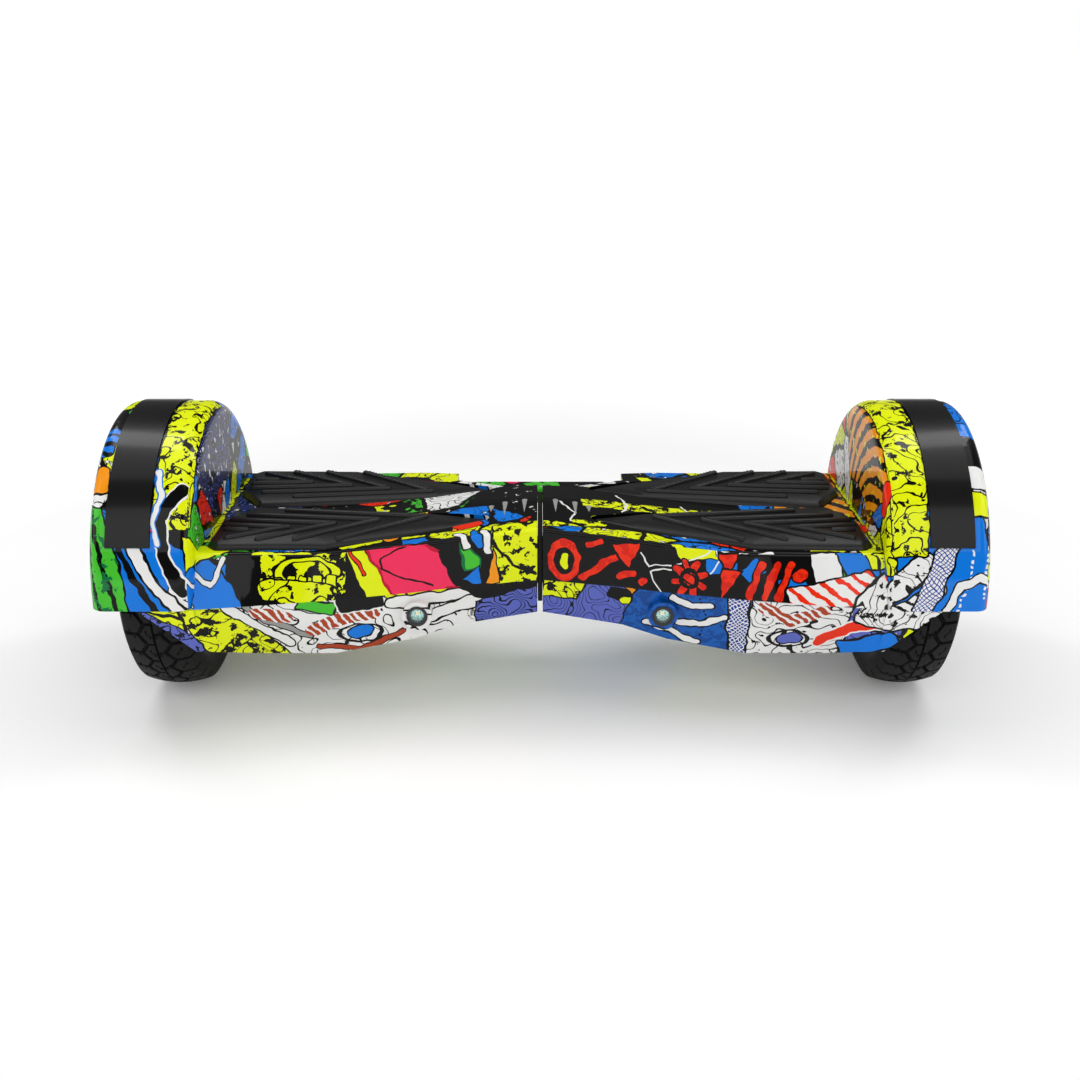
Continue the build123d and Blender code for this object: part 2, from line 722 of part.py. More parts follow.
hub_cap_radius = 24.0
axle_overhang = 3.0             # of the axle past its saddle
cap_x = wheel_x + rim_half_width
with BuildPart() as hub_cap:
    with BuildSketch(Plane.XZ):
        with BuildLine():
            Polyline((cap_x, axle_z), (cap_x, axle_z + hub_cap_radius),
                     (cap_x + 1.5, axle_z + hub_cap_radius), (cap_x + 4, axle_z + hub_cap_radius - 9),
                     (cap_x + 5, axle_z), (cap_x, axle_z))
        make_face()
    revolve(axis=axle_line)
save_pair(hub_cap.part, "hub_cap")

with BuildPart() as axle:
    with BuildSketch(Plane.YZ.offset(saddle_near_x - axle_overhang)):
        with Locations((0, axle_z)):
            Circle(axle_radius)
    extrude(amount=wheel_x + rim_half_width - 0.6 - saddle_near_x + axle_overhang)
    chamfer(axle.edges().filter_by(GeomType.CIRCLE), length=1)
    with BuildSketch(Plane.YZ.offset(saddle_near_x - axle_overhang - 1)):
        with Locations((0, axle_z)):
            Circle(3)
    extrude(amount=44, mode=Mode.SUBTRACT)
save_pair(axle.part, "axle")

with BuildPart() as stator:
    with BuildSketch(Plane.YZ.offset(wheel_x - motor_width / 2)):
        with Locations((0, axle_z)):
            Circle(stator_yoke)
            with PolarLocations((stator_yoke + stator_radius) / 2, slot_count):
                Rectangle(stator_radius - stator_yoke + 2, 4)
            with PolarLocations(stator_radius - 1.5, slot_count):
                Rectangle(3, 11)
            with PolarLocations(29, 6):
                Circle(8, mode=Mode.SUBTRACT)
            Circle(axle_radius, mode=Mode.SUBTRACT)
    extrude(amount=motor_width)
save_pair(stator.part, "stator")

with BuildPart() as windings:
    coil_middle = stator_yoke + 6.2
    with BuildSketch(Plane.YZ.offset(wheel_x - motor_width / 2 - 3)):
        with Locations((0, axle_z)):
            with PolarLocations(coil_middle, slot_count):
                RectangleRounded(10, 8.4, 1)
    extrude(amount=motor_width + 6)
    with BuildSketch(Plane.YZ.offset(wheel_x - motor_width / 2)):
        with Locations((0, axle_z)):
            with PolarLocations(coil_middle, slot_count):
                Rectangle(12, 4)
    extrude(amount=motor_width, mode=Mode.SUBTRACT)
save_pair(windings.part, "windings")

# ================================================================ lamps and ports
housing_depth = port_pocket + 3
lens_thickness = 1.6
bezel_proud = 0.6
lamp_back_y = -port_face_y + housing_depth
with BuildPart() as headlamp_housing:
    with BuildSketch(Plane.XZ.offset(port_face_y + bezel_proud)):
        with Locations((port_x, port_z)):
            Circle(lamp_radius)
    extrude(amount=-(housing_depth + bezel_proud))
    with BuildSketch(Plane.XZ.offset(port_face_y + bezel_proud + 1)):
        with Locations((port_x, port_z)):
            Circle(lens_radius)
    extrude(amount=-(lens_thickness + bezel_proud + 1.6), mode=Mode.SUBTRACT)
    with BuildSketch(Plane.XZ.offset(port_face_y - lens_thickness - 0.6)):
        with Locations((port_x, port_z)):
            Circle(lens_radius - 0.8)
    extrude(amount=-4, taper=25, mode=Mode.SUBTRACT)
save_pair(headlamp_housing.part, "headlamp_housing")

with BuildPart() as headlamp_lens:
    with BuildSketch(Plane.XZ.offset(port_face_y - lens_thickness - 0.6)):
        with Locations((port_x, port_z)):
            Circle(lens_radius - 0.05)
    extrude(amount=lens_thickness)
save_pair(headlamp_lens.part, "headlamp_lens")

with BuildPart() as headlamp_led:
    with BuildSketch(Plane.XZ.offset(port_face_y - lens_thickness - 4.6)):
        with Locations((port_x, port_z)):
            Rectangle(3, 3)
    extrude(amount=1)
save_pair(headlamp_led.part, "headlamp_led")

with BuildPart() as power_button:
    with BuildSketch(Plane.XZ.offset(-port_face_y - button_travel)):
        with Locations((port_x, port_z)):
            Circle(lamp_radius - button_clearance)
    extrude(amount=7)
    fillet(power_button.edges().group_by(Axis.Y)[-1], radius=1)
save(mirrored(power_button.part), "power_button")

cap_radius = 9.5
cap_thickness = 2.0
flange_thickness = 1.0
cap_hinge_z = port_z + 12.0
cap_near_y = port_face_y + flange_thickness + 0.4
cap_hinge_y = cap_near_y + cap_thickness / 2
hinge_pin_radius = 1.2
knuckle_radius = 2.0
knuckle_half_length = 4.5
ear_width = 2.0
contact_radius = 0.9
with BuildPart() as charge_socket:
    with BuildSketch(Plane.XZ.offset(-port_face_y)):
        with Locations((port_x, port_z)):
            Circle(lamp_radius)
    extrude(amount=12)
    with BuildSketch(Plane.XZ.offset(-port_face_y - flange_thickness)):
        with Locations((port_x, port_z)):
            Circle(cap_radius + 0.3)
        for side in both_ways:
            with Locations((port_x + side * (knuckle_half_length + 0.3 + ear_width / 2), port_z + 9)):
                Rectangle(ear_width, 10)
    extrude(amount=flange_thickness)
    for side in both_ways:
        ear_x = port_x + side * (knuckle_half_length + 0.3 + ear_width / 2)
        with BuildSketch(Plane.YZ.offset(ear_x - ear_width / 2)):
            with Locations((cap_hinge_y, cap_hinge_z)):
                Circle(knuckle_radius)
            with Locations((port_face_y + 1.2, cap_hinge_z)):
                Rectangle(2.4, 2 * knuckle_radius)
        extrude(amount=ear_width)
    with BuildSketch(Plane.YZ.offset(port_x - knuckle_half_length - 0.5)):
        with Locations((cap_hinge_y, cap_hinge_z)):
            Circle(hinge_pin_radius)
    extrude(amount=2 * knuckle_half_length + 1)
    with BuildSketch(Plane.XZ.offset(-port_face_y - 2)):
        with Locations((port_x, port_z)):
            Circle(lamp_radius - 1.5)
    extrude(amount=11, mode=Mode.SUBTRACT)
    with BuildSketch(Plane.XZ.offset(-port_face_y + 9)):
        with Locations((port_x - 2.5, port_z - 1.5), (port_x + 2.5, port_z - 1.5), (port_x, port_z + 2.8)):
            Circle(contact_radius)
    extrude(amount=-7)
save(charge_socket.part, "charge_socket")

with BuildPart() as charge_cap:
    with BuildSketch(Plane.XZ.offset(-cap_near_y)):
        with Locations((port_x, port_z)):
            Circle(cap_radius)
        with Locations((port_x, (port_z + cap_hinge_z) / 2)):
            Rectangle(2 * knuckle_half_length, cap_hinge_z - port_z)
    extrude(amount=-cap_thickness)
    with BuildSketch(Plane.YZ.offset(port_x - knuckle_half_length)):
        with Locations((cap_hinge_y, cap_hinge_z)):
            Circle(knuckle_radius)
    extrude(amount=2 * knuckle_half_length)
    with BuildSketch(Plane.YZ.offset(port_x - 2 * knuckle_half_length)):
        with Locations((cap_hinge_y, cap_hinge_z)):
            Circle(hinge_pin_radius + running)
    extrude(amount=4 * knuckle_half_length, mode=Mode.SUBTRACT)
save(charge_cap.part, "charge_cap")

# ================================================================ carry handle and electrics
grip_half_length = 51.0
grip_round = 3.0
with BuildPart() as carry_handle:
    with BuildSketch(Plane.XY.offset(handle_top - handle_thickness)):
        Polygon((-notch_x, handle_inner_y - 3), (-notch_x, handle_outer_y - 6),
                (-grip_half_length, handle_outer_y), (grip_half_length, handle_outer_y),
                (notch_x - twist_gap, handle_outer_y - 7), (notch_x - twist_gap, handle_inner_y + 2),
                (grip_half_length, handle_inner_y), (-grip_half_length, handle_inner_y), align=None)
    extrude(amount=handle_thickness)
    grip_edges = carry_handle.edges().filter_by(Plane.XY)
    fillet(grip_edges.filter_by(lambda e: abs(e.tangent_at(0.5).X) > 0.5), radius=grip_round)
    with BuildSketch(Plane.YZ.offset(-notch_x)):
        with Locations((handle_inner_y + 3, handle_top - handle_thickness)):
            Rectangle(12, 24)
    extrude(amount=3)
save(carry_handle.part, "carry_handle")

battery_near_x = 136.0
battery_length = 70.0
battery_half_width = 56.0
battery_top = chassis_top - chassis_plate - 0.4
strap_x = 162.0
strap_width = 20.0
strap_thickness = 1.5
battery_bottom = belly_z + shell_wall + strap_thickness + 0.5
with BuildPart() as battery_pack:
    with BuildSketch(Plane.XY.offset(battery_bottom)):
        with Locations((battery_near_x + battery_length / 2, 0)):
            Rectangle(battery_length, 2 * battery_half_width)
    extrude(amount=battery_top - battery_bottom)
    fillet(battery_pack.edges().filter_by(Axis.Y), radius=6)
save(battery_pack.part, "battery_pack")

with BuildPart() as battery_strap:
    strap_half_width = battery_half_width + 0.3 + strap_thickness
    with BuildSketch(Plane.XY.offset(battery_bottom - strap_thickness)):
        with Locations((strap_x + strap_width / 2, 0)):
            Rectangle(strap_width, 2 * strap_half_width)
    extrude(amount=chassis_top - chassis_plate - battery_bottom + strap_thickness)
    with BuildSketch(Plane.XY.offset(battery_bottom)):
        with Locations((strap_x + strap_width / 2, 0)):
            Rectangle(strap_width + 2, 2 * (battery_half_width + 0.3))
    extrude(amount=chassis_top, mode=Mode.SUBTRACT)
save(battery_strap.part, "battery_strap")

board_z = 74.0
board_thickness = 1.6
board_middle_x = 155.0
board_length = 100.0
board_width = 80.0
with BuildPart() as main_board:
    with BuildSketch(Plane.XY.offset(board_z)):
        with Locations((board_middle_x, 0)):
            RectangleRounded(board_length, board_width, 4)
    extrude(amount=board_thickness)
    with BuildSketch(Plane.XY.offset(board_z + board_thickness)):
        with Locations((board_middle_x, 0)):
            with GridLocations(board_length - 12, board_width - 12, 2, 2):
                Circle(3)
    extrude(amount=chassis_top - chassis_plate - board_z - board_thickness)
    with BuildSketch(Plane.XY.offset(board_z - 3)):
        with Locations((board_middle_x - 25, 0)):
            Rectangle(40, 60)
    extrude(amount=3)
    with BuildSketch(Plane.XY.offset(board_z - 10)):
        with Locations((board_middle_x - 25, 0)):
            with GridLocations(5, 1, 8, 1):
                Rectangle(2, 60)
    extrude(amount=7)
    with BuildSketch(Plane.XY.offset(board_z - 9)):
        with Locations((board_middle_x + 30, -26), (board_middle_x + 30, 26)):
            Circle(6)
        with Locations((board_middle_x + 10, 0)):
            Rectangle(9, 40)
    extrude(amount=9)
save(mirrored(main_board.part), "main_board")

with BuildPart() as gyro_board:
    gyro_x = saddle_near_x - 15
    with BuildSketch(Plane.XY.offset(chassis_top + 4)):
        with Locations((gyro_x, 0)):
            Rectangle(20, 48)
    extrude(amount=board_thickness)
    with BuildSketch(Plane.XY.offset(chassis_top)):
        with Locations((gyro_x, 0)):
            with GridLocations(14, 40, 2, 2):
                Circle(2)
    extrude(amount=4)
    with BuildSketch(Plane.XY.offset(chassis_top + 4 + board_thickness)):
        with Locations((gyro_x, 0)):
            Rectangle(6, 6)
        with Locations((gyro_x, 16), (gyro_x, -16)):
            Rectangle(8, 10)
    extrude(amount=2)
save_pair(gyro_board.part, "gyro_board")

speaker_radius = 19.0
with BuildPart() as speaker:
    with BuildSketch(Plane.XZ):
        floor_z = belly_z + shell_wall
        Polygon((grille_x + 15, floor_z), (grille_x + speaker_radius, floor_z),
                (grille_x + speaker_radius, floor_z + 3), (grille_x + 13, floor_z + 9),
                (grille_x + 13, floor_z + 16), (grille_x, floor_z + 16), (grille_x, floor_z + 9),
                (grille_x + 6, floor_z + 8), align=None)
    revolve(axis=Axis((grille_x, 0, 0), (0, 0, 1)))
save(mirrored(speaker.part), "speaker")
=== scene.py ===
import math

import bpy
import numpy as np
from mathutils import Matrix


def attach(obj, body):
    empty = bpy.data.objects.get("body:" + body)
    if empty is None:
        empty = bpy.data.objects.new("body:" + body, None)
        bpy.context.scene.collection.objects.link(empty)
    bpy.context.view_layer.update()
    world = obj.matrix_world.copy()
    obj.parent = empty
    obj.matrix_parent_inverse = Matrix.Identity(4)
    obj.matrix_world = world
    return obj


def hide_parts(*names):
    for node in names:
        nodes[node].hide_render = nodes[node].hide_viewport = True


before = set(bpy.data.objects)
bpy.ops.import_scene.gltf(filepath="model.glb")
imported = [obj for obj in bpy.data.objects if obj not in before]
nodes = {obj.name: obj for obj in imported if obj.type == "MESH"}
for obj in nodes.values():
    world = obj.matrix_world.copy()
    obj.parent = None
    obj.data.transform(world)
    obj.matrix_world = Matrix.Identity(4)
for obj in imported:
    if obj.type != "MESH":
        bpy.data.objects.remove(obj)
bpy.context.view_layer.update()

# ---- Set and camera --------------------------------------------------------------------------
# A white sweep of paper under a large soft box, with another in front, one on each side and two
# narrow ones behind, as for a catalogue. The camera looks down on the board by about twenty degrees.
camera_height = 0.4551
camera_distance = 0.9314
camera_tilt = math.radians(90 - 20.45)
camera_lens = 43.77

camera = bpy.data.objects.new("camera", bpy.data.cameras.new("camera"))
bpy.context.scene.collection.objects.link(camera)
camera.location = (0, -camera_distance, camera_height)
camera.rotation_euler = (camera_tilt, 0, 0)
camera.data.lens = camera_lens
camera.data.sensor_width = 36
bpy.context.scene.camera = camera
bpy.context.scene.view_settings.view_transform = "Standard"


class Sheet:
    """One material's node tree. Its methods add nodes and hand their outputs back as Fields."""

    def __init__(self, name):
        self.material = bpy.data.materials.new(name)
        self.material.use_nodes = True
        self.tree = self.material.node_tree
        self.tree.nodes.clear()
        self.finish = self.tree.nodes.new("ShaderNodeBsdfPrincipled")
        self.output = self.tree.nodes.new("ShaderNodeOutputMaterial")
        self.tree.links.new(self.finish.outputs[0], self.output.inputs[0])
        self.where = self.tree.nodes.new("ShaderNodeTexCoord")

    def node(self, kind, settings=(), inputs=(), output=0):
        """Add a node, set its properties, then its sockets by name or number."""
        made = self.tree.nodes.new("ShaderNode" + kind)
        for key, value in dict(settings).items():
            if key == "stops":
                while len(made.color_ramp.elements) < len(value):
                    made.color_ramp.elements.new(0.5)
                for element, (place, colour) in zip(made.color_ramp.elements, value):
                    element.position = place
                    element.color = (*colour, 1) if len(colour) == 3 else colour
            elif key == "interpolation":
                made.color_ramp.interpolation = value
            else:
                setattr(made, key, value)
        for key, value in dict(inputs).items():
            self.plug(made.inputs[key], value)
        return Field(self, made.outputs[output])

    def plug(self, socket, value):
        if isinstance(value, Field):
            self.tree.links.new(value.socket, socket)
        elif isinstance(value, tuple) and socket.type == "RGBA" and len(value) == 3:
            socket.default_value = (*value, 1)
        else:
            socket.default_value = value

    def math(self, operation, a, b=0.0, c=0.0, clamp=False):
        return self.node("Math", {"operation": operation, "use_clamp": clamp}, {0: a, 1: b, 2: c})

    def vector(self, operation, a, b=(0.0, 0.0, 0.0), scale=1.0, output=0):
        return self.node("VectorMath", {"operation": operation}, {0: a, 1: b, 3: scale}, output)

    def mix(self, share, under, over):
        """Colour over laid on colour under where share is 1."""
        return self.node("Mix", {"data_type": "RGBA"}, {0: share, 6: under, 7: over}, 2)

    def place(self):
        return Field(self, self.where.outputs["Object"])

    def normal(self):
        return Field(self, self.where.outputs["Normal"])

    def noise(self, at, scale, detail=2.0, roughness=0.5, output=0):
        return self.node("TexNoise", {}, {"Vector": at, "Scale": scale, "Detail": detail,
                                          "Roughness": roughness}, output)

    def bump(self, height, strength, distance):
        return self.node("Bump", {}, {"Height": height, "Strength": strength, "Distance": distance})

    def parts(self, vector):
        """The three numbers of a vector."""
        split = self.node("SeparateXYZ", {}, {0: vector})
        return [Field(self, socket) for socket in split.socket.node.outputs]

    def set(self, **sockets):
        for key, value in sockets.items():
            self.plug(self.finish.inputs[key.replace("_", " ")], value)
        return self


class Field:
    """A socket whose value varies over a surface, with the usual arithmetic."""

    def __init__(self, sheet, socket):
        self.sheet = sheet
        self.socket = socket

    def __add__(self, other):
        return self.sheet.math("ADD", self, other)

    def __radd__(self, other):
        return self.sheet.math("ADD", other, self)

    def __sub__(self, other):
        return self.sheet.math("SUBTRACT", self, other)

    def __rsub__(self, other):
        return self.sheet.math("SUBTRACT", other, self)

    def __mul__(self, other):
        return self.sheet.math("MULTIPLY", self, other)

    def __rmul__(self, other):
        return self.sheet.math("MULTIPLY", other, self)

    def __lt__(self, other):
        return self.sheet.math("LESS_THAN", self, other)

    def __gt__(self, other):
        return self.sheet.math("GREATER_THAN", self, other)

    def __abs__(self):
        return self.sheet.math("ABSOLUTE", self)

    def least(self, other):
        return self.sheet.math("MINIMUM", self, other)

    def most(self, other):
        return self.sheet.math("MAXIMUM", self, other)

    def fraction(self):
        return self.sheet.math("FRACT", self)

    def clamp(self):
        return self.sheet.math("ADD", self, 0.0, clamp=True)


def sheet_of_paper():
    """Smooth white paper with a faint tooth, which glows a little so that it stays white far away."""
    paper = Sheet("paper")
    tooth = paper.noise(paper.place(), 900.0, 3.0)
    tint = paper.mix(tooth, (0.93, 0.93, 0.93), (0.96, 0.96, 0.96))
    away = paper.vector("LENGTH", paper.place(), output=1)
    glow = (away * 0.75 - 0.34).clamp().most(0.12)
    paper.set(Base_Color=tint, Roughness=0.8, Specular_IOR_Level=0.1)
    paper.set(Emission_Color=paper.mix(glow, (0.0, 0.0, 0.0), (1.0, 1.0, 1.0)), Emission_Strength=1.0)
    paper.set(Normal=paper.bump(tooth, 0.05, 0.0002))
    return paper.material


bpy.ops.object.select_all(action="DESELECT")
bpy.ops.mesh.primitive_plane_add(size=60, location=(0, 20, -0.0005))
floor = bpy.context.object
bpy.ops.object.transform_apply(location=True, rotation=True, scale=True)
floor.name = "floor"
floor.data.materials.append(sheet_of_paper())


def soft_box(name, place, aim, width, height, brightness):
    """A rectangular soft box of the given brightness that faces the point it is aimed at."""
    lamp = bpy.data.lights.new(name, "AREA")
    lamp.shape = "RECTANGLE"
    lamp.size = width
    lamp.size_y = height
    lamp.energy = brightness * math.pi * width * height
    box = bpy.data.objects.new(name, lamp)
    bpy.context.scene.collection.objects.link(box)
    box.location = place
    toward = [a - p for a, p in zip(aim, place)]
    length = math.dist(aim, place)
    box.rotation_euler = (math.acos(-toward[2] / length), 0, math.atan2(-toward[0], toward[1]))


soft_box("overhead_box", (0, 0.15, 1.7), (0, 0, 0), 2.4, 1.4, 1.25)
soft_box("front_box", (0, -2.0, 1.5), (0, 0, 0.1), 3.2, 1.4, 1.7)
for side in (-1, 1):
    soft_box("strip_box", (side * 0.8, 0.5, 1.2), (side * 0.2, 0, 0.1), 0.25, 1.0, 4.5)
    soft_box("side_box", (side * 1.7, -0.4, 0.8), (0, 0, 0.1), 1.0, 1.0, 1.8)

world = bpy.data.worlds.new("studio")
bpy.context.scene.world = world
world.use_nodes = True
air = world.node_tree
dim = air.nodes["Background"]
dim.inputs[0].default_value = (1, 1, 1, 1)
dim.inputs[1].default_value = 0.13
backdrop = air.nodes.new("ShaderNodeBackground")
backdrop.inputs[0].default_value = (1, 1, 1, 1)
backdrop.inputs[1].default_value = 1.0
chooser = air.nodes.new("ShaderNodeMixShader")
air.links.new(air.nodes.new("ShaderNodeLightPath").outputs["Is Camera Ray"], chooser.inputs[0])
air.links.new(dim.outputs[0], chooser.inputs[1])
air.links.new(backdrop.outputs[0], chooser.inputs[2])
air.links.new(chooser.outputs[0], air.nodes["World Output"].inputs[0])


# ---- Tyres -----------------------------------------------------------------------------------
# Air-filled black rubber tyres, 200 mm across, moulded with hexagonal blocks between zigzag
# grooves, a narrow centre groove and small Z-shaped cuts. Each is pressed over its motor's rim.
wheel_x = 0.270
axle_z = 0.100
tread_radius = 0.100
tread_edge = 0.0965
tread_half_width = 0.0205
wall_height = 0.0225
wall_bulge = 0.0043
bead_half_width = 0.021
rim_seat = 0.070
blocks_round = 34
groove_depth = 0.0024
cut_depth = 0.0011


def tyre_outline():
    """Closed section of the tyre as (across, radius), with the tread's share of each point."""
    crown = tread_radius - tread_edge
    tread = [(tread_half_width * s, tread_radius - crown * s * s) for s in np.linspace(-1, 1, 53)]
    turn = np.linspace(0, math.pi / 2, 9)[1:-1]
    wall = [(tread_half_width + wall_bulge * math.sin(2 * a), tread_edge - wall_height * (a / (math.pi / 2)))
            for a in turn]
    right = wall + [(bead_half_width, tread_edge - wall_height), (bead_half_width, rim_seat)]
    left = [(-across, radius) for across, radius in reversed(right)]
    inner = [(-across, rim_seat) for across in np.linspace(-bead_half_width, bead_half_width, 6)[1:-1]]
    return np.array(left + tread + right + inner)


def groove(turn, across):
    """Depth of the tread's grooves at an angle about the axle and a share of the half width."""
    share = across / tread_half_width
    phase = (turn * blocks_round / (2 * math.pi)) % 1.0
    zigzag = 4 * abs(phase - 0.5) - 1
    side = np.sign(share)
    along = (phase - 0.5) * 2 * math.pi * tread_radius / blocks_round
    depth = np.zeros_like(share)
    depth = np.where(abs(share) < 0.035, groove_depth, depth)
    line = 0.40 + 0.13 * zigzag * side
    depth = np.where(abs(abs(share) - line) < 0.055, groove_depth, depth)
    outer_turn = np.where(side > 0, np.minimum(phase, 1 - phase), abs(phase - 0.5))
    inner_turn = np.where(side > 0, abs(phase - 0.5), np.minimum(phase, 1 - phase))
    depth = np.where((abs(share) > 0.5) & (outer_turn < 0.06), groove_depth, depth)
    depth = np.where((abs(share) < 0.3) & (inner_turn < 0.05), groove_depth * 0.8, depth)
    for middle, reach in ((0.17, 0.0036), (0.74, 0.0040)):
        offset = (abs(share) - middle) * tread_half_width
        step = 0.0015 * np.clip(along / 0.0012, -1, 1)
        depth = np.where((abs(offset - step) < 0.0005) & (abs(along) < reach), cut_depth, depth)
    return np.where(abs(share) > 1.12, 0.0, depth)


def rubber(name, grey, bump_scale):
    """Matt black rubber, dusty in random patches, with the fine grain of its mould."""
    sheet = Sheet(name)
    grain = sheet.noise(sheet.place(), bump_scale, 4.0, 0.6)
    dust = sheet.noise(sheet.place(), 40.0, 3.0)
    tint = sheet.mix(dust, (grey * 0.75,) * 3, (grey * 1.35, grey * 1.3, grey * 1.25))
    sheet.set(Base_Color=tint, Roughness=0.5 + 0.2 * grain, Specular_IOR_Level=0.15)
    sheet.set(Normal=sheet.bump(grain, 0.25, 0.0003))
    return sheet.material


tyre_rubber = rubber("tyre_rubber", 0.008, 1400.0)
rounds = 960
for side, name in ((-1, "left"), (1, "right")):
    bpy.ops.object.select_all(action="DESELECT")
    section = tyre_outline()
    bpy.ops.mesh.primitive_grid_add(x_subdivisions=rounds, y_subdivisions=len(section), size=2)
    tyre = bpy.context.object
    tyre.name = name + "_treaded_tyre"
    flat = np.empty(len(tyre.data.vertices) * 3)
    tyre.data.vertices.foreach_get("co", flat)
    flat = flat.reshape(-1, 3)
    column = np.rint((flat[:, 0] + 1) / 2 * rounds)
    row = np.rint((flat[:, 1] + 1) / 2 * len(section)).astype(int) % len(section)
    turn = column / rounds * 2 * math.pi
    across = section[row, 0]
    radius = section[row, 1] - np.where(section[row, 1] > 0.090, groove(turn, across), 0)
    placed = np.stack([side * wheel_x + across, -radius * np.cos(turn),
                       axle_z + radius * np.sin(turn)], axis=1)
    tyre.data.vertices.foreach_set("co", placed.ravel())
    bpy.ops.object.mode_set(mode="EDIT")
    bpy.ops.mesh.select_all(action="SELECT")
    bpy.ops.mesh.remove_doubles(threshold=0.00002)
    bpy.ops.mesh.normals_make_consistent(inside=False)
    bpy.ops.object.mode_set(mode="OBJECT")
    bpy.ops.object.transform_apply(location=True, rotation=True, scale=True)
    bpy.ops.object.shade_smooth_by_angle(angle=math.radians(35))
    tyre.data.materials.append(tyre_rubber)
    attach(tyre, name + "_wheel")
    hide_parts(name + "_tyre")


def coat(material, *names):
    """Give CAD nodes their finish."""
    for name in names:
        mesh = nodes[name].data
        mesh.materials.clear()
        mesh.materials.append(material)


def both(name):
    """A pair of like nodes, one on each half of the board."""
    return ["left_" + name, "right_" + name]


# ---- Wheels and hub motors -------------------------------------------------------------------
# Aluminium rims that carry the magnets, with a screwed cover on the inner side. The cast parts
# are left bare, the rims are sprayed dark grey, and the bearings and axles are turned steel.
def metal(name, colour, roughness, scale=(300.0, 300.0, 300.0), streak=0.12):
    """Bare or plated metal with fine marks, drawn out along one direction where it is turned."""
    sheet = Sheet(name)
    stretched = sheet.vector("MULTIPLY", sheet.place(), scale)
    marks = sheet.noise(stretched, 1.0, 4.0, 0.6)
    cloud = sheet.noise(sheet.place(), 60.0, 2.0)
    darker = tuple(c * 0.7 for c in colour)
    sheet.set(Base_Color=sheet.mix(cloud, darker, colour), Metallic=1.0)
    sheet.set(Roughness=roughness + streak * marks, Normal=sheet.bump(marks, 0.15, 0.0002))
    return sheet.material


def moulded(name, colour, roughness, grain_scale=1200.0, bumpiness=0.15):
    """Moulded plastic with a fine grain and slight cloudiness."""
    sheet = Sheet(name)
    grain = sheet.noise(sheet.place(), grain_scale, 3.0)
    cloud = sheet.noise(sheet.place(), 35.0, 2.0)
    sheet.set(Base_Color=sheet.mix(cloud, tuple(c * 0.8 for c in colour), colour))
    sheet.set(Roughness=roughness + 0.12 * grain, Normal=sheet.bump(grain, bumpiness, 0.0002))
    return sheet.material


cast_aluminium = metal("cast_aluminium", (0.62, 0.63, 0.65), 0.38)
turned_steel = metal("turned_steel", (0.55, 0.56, 0.58), 0.2, (40.0, 900.0, 900.0))
rim_paint = moulded("rim_paint", (0.05, 0.05, 0.055), 0.35)
coat(rim_paint, *both("motor_rim"))
coat(cast_aluminium, *both("motor_cover"), *both("chassis"), *both("axle_clamp"))
coat(turned_steel, *both("hub_bearings"), *both("axle"), *both("shell_screws"), "pivot_tube", "pivot_circlip")
coat(metal("magnet_plate", (0.72, 0.72, 0.74), 0.15, (500.0, 60.0, 500.0)), *both("magnets"))
coat(metal("core_steel", (0.25, 0.25, 0.27), 0.45, (2600.0, 20.0, 20.0), 0.3), *both("stator"))
coat(metal("enamelled_copper", (0.72, 0.30, 0.12), 0.25, (2000.0, 120.0, 120.0)), *both("windings"))
coat(metal("sintered_bronze", (0.55, 0.38, 0.18), 0.45, (900.0, 900.0, 900.0)), "pivot_bushes")
coat(metal("strap_steel", (0.5, 0.5, 0.5), 0.35, (60.0, 900.0, 900.0)), "battery_strap")
black_plastic = moulded("black_plastic", (0.018, 0.018, 0.019), 0.42)
coat(black_plastic, *both("hub_cap"), *both("pad_switches"), *both("headlamp_housing"), "pivot_washer",
     "power_button", "charge_socket", "charge_cap", "speaker")

# ---- Electrics inside the halves -------------------------------------------------------------
# Green boards with copper tracks under their mask on posts, and the cells in blue shrink wrap
# held up under the right chassis by a steel strap.
def board_mask():
    """Green solder mask over copper tracks."""
    sheet = Sheet("solder_mask")
    tracks = sheet.node("TexVoronoi", {"feature": "DISTANCE_TO_EDGE"},
                        {"Vector": sheet.place(), "Scale": 260.0})
    copper = tracks < 0.06
    sheet.set(Base_Color=sheet.mix(copper, (0.01, 0.09, 0.035), (0.03, 0.20, 0.07)))
    sheet.set(Roughness=0.3 + 0.2 * copper, Normal=sheet.bump(copper, 0.3, 0.0002))
    return sheet.material


coat(board_mask(), "main_board", *both("gyro_board"))
coat(moulded("shrink_wrap", (0.02, 0.12, 0.42), 0.22, 160.0, 0.4), "battery_pack")

# ---- Foot pads -------------------------------------------------------------------------------
# Black rubber pads in the deck, one for each half of each foot, that press down on two switches.
# Their bevelled tops carry nested chevrons of rounded ribs, which point at the waist, and the
# rear pads have beads along the ribs that follow the rim.
pad_top = 0.1365
rib_half_width = 0.0026
rib_height = 0.0026
bead_radius = 0.0013
bead_pitch = 0.0034
chevrons = [((84, -29), (186, -16), (140, -76)), ((118, -36), (212, -26), (170, -77)),
            ((148, -44), (222, -37), (196, -77)), ((180, -52), (224, -48), (218, -74))]
short_rib = ((208, -58), (222, -57))


def pad_skin():
    """Smooth moulded rubber with a soft sheen and a fine grain."""
    sheet = Sheet("pad_rubber")
    grain = sheet.noise(sheet.place(), 1100.0, 3.0)
    worn = sheet.noise(sheet.place(), 35.0, 3.0)
    sheet.set(Base_Color=sheet.mix(worn, (0.006, 0.006, 0.0065), (0.012, 0.012, 0.0125)))
    sheet.set(Roughness=0.30 + 0.12 * grain, Specular_IOR_Level=0.32)
    sheet.set(Normal=sheet.bump(grain, 0.12, 0.0002))
    return sheet.material


pad_rubber = pad_skin()


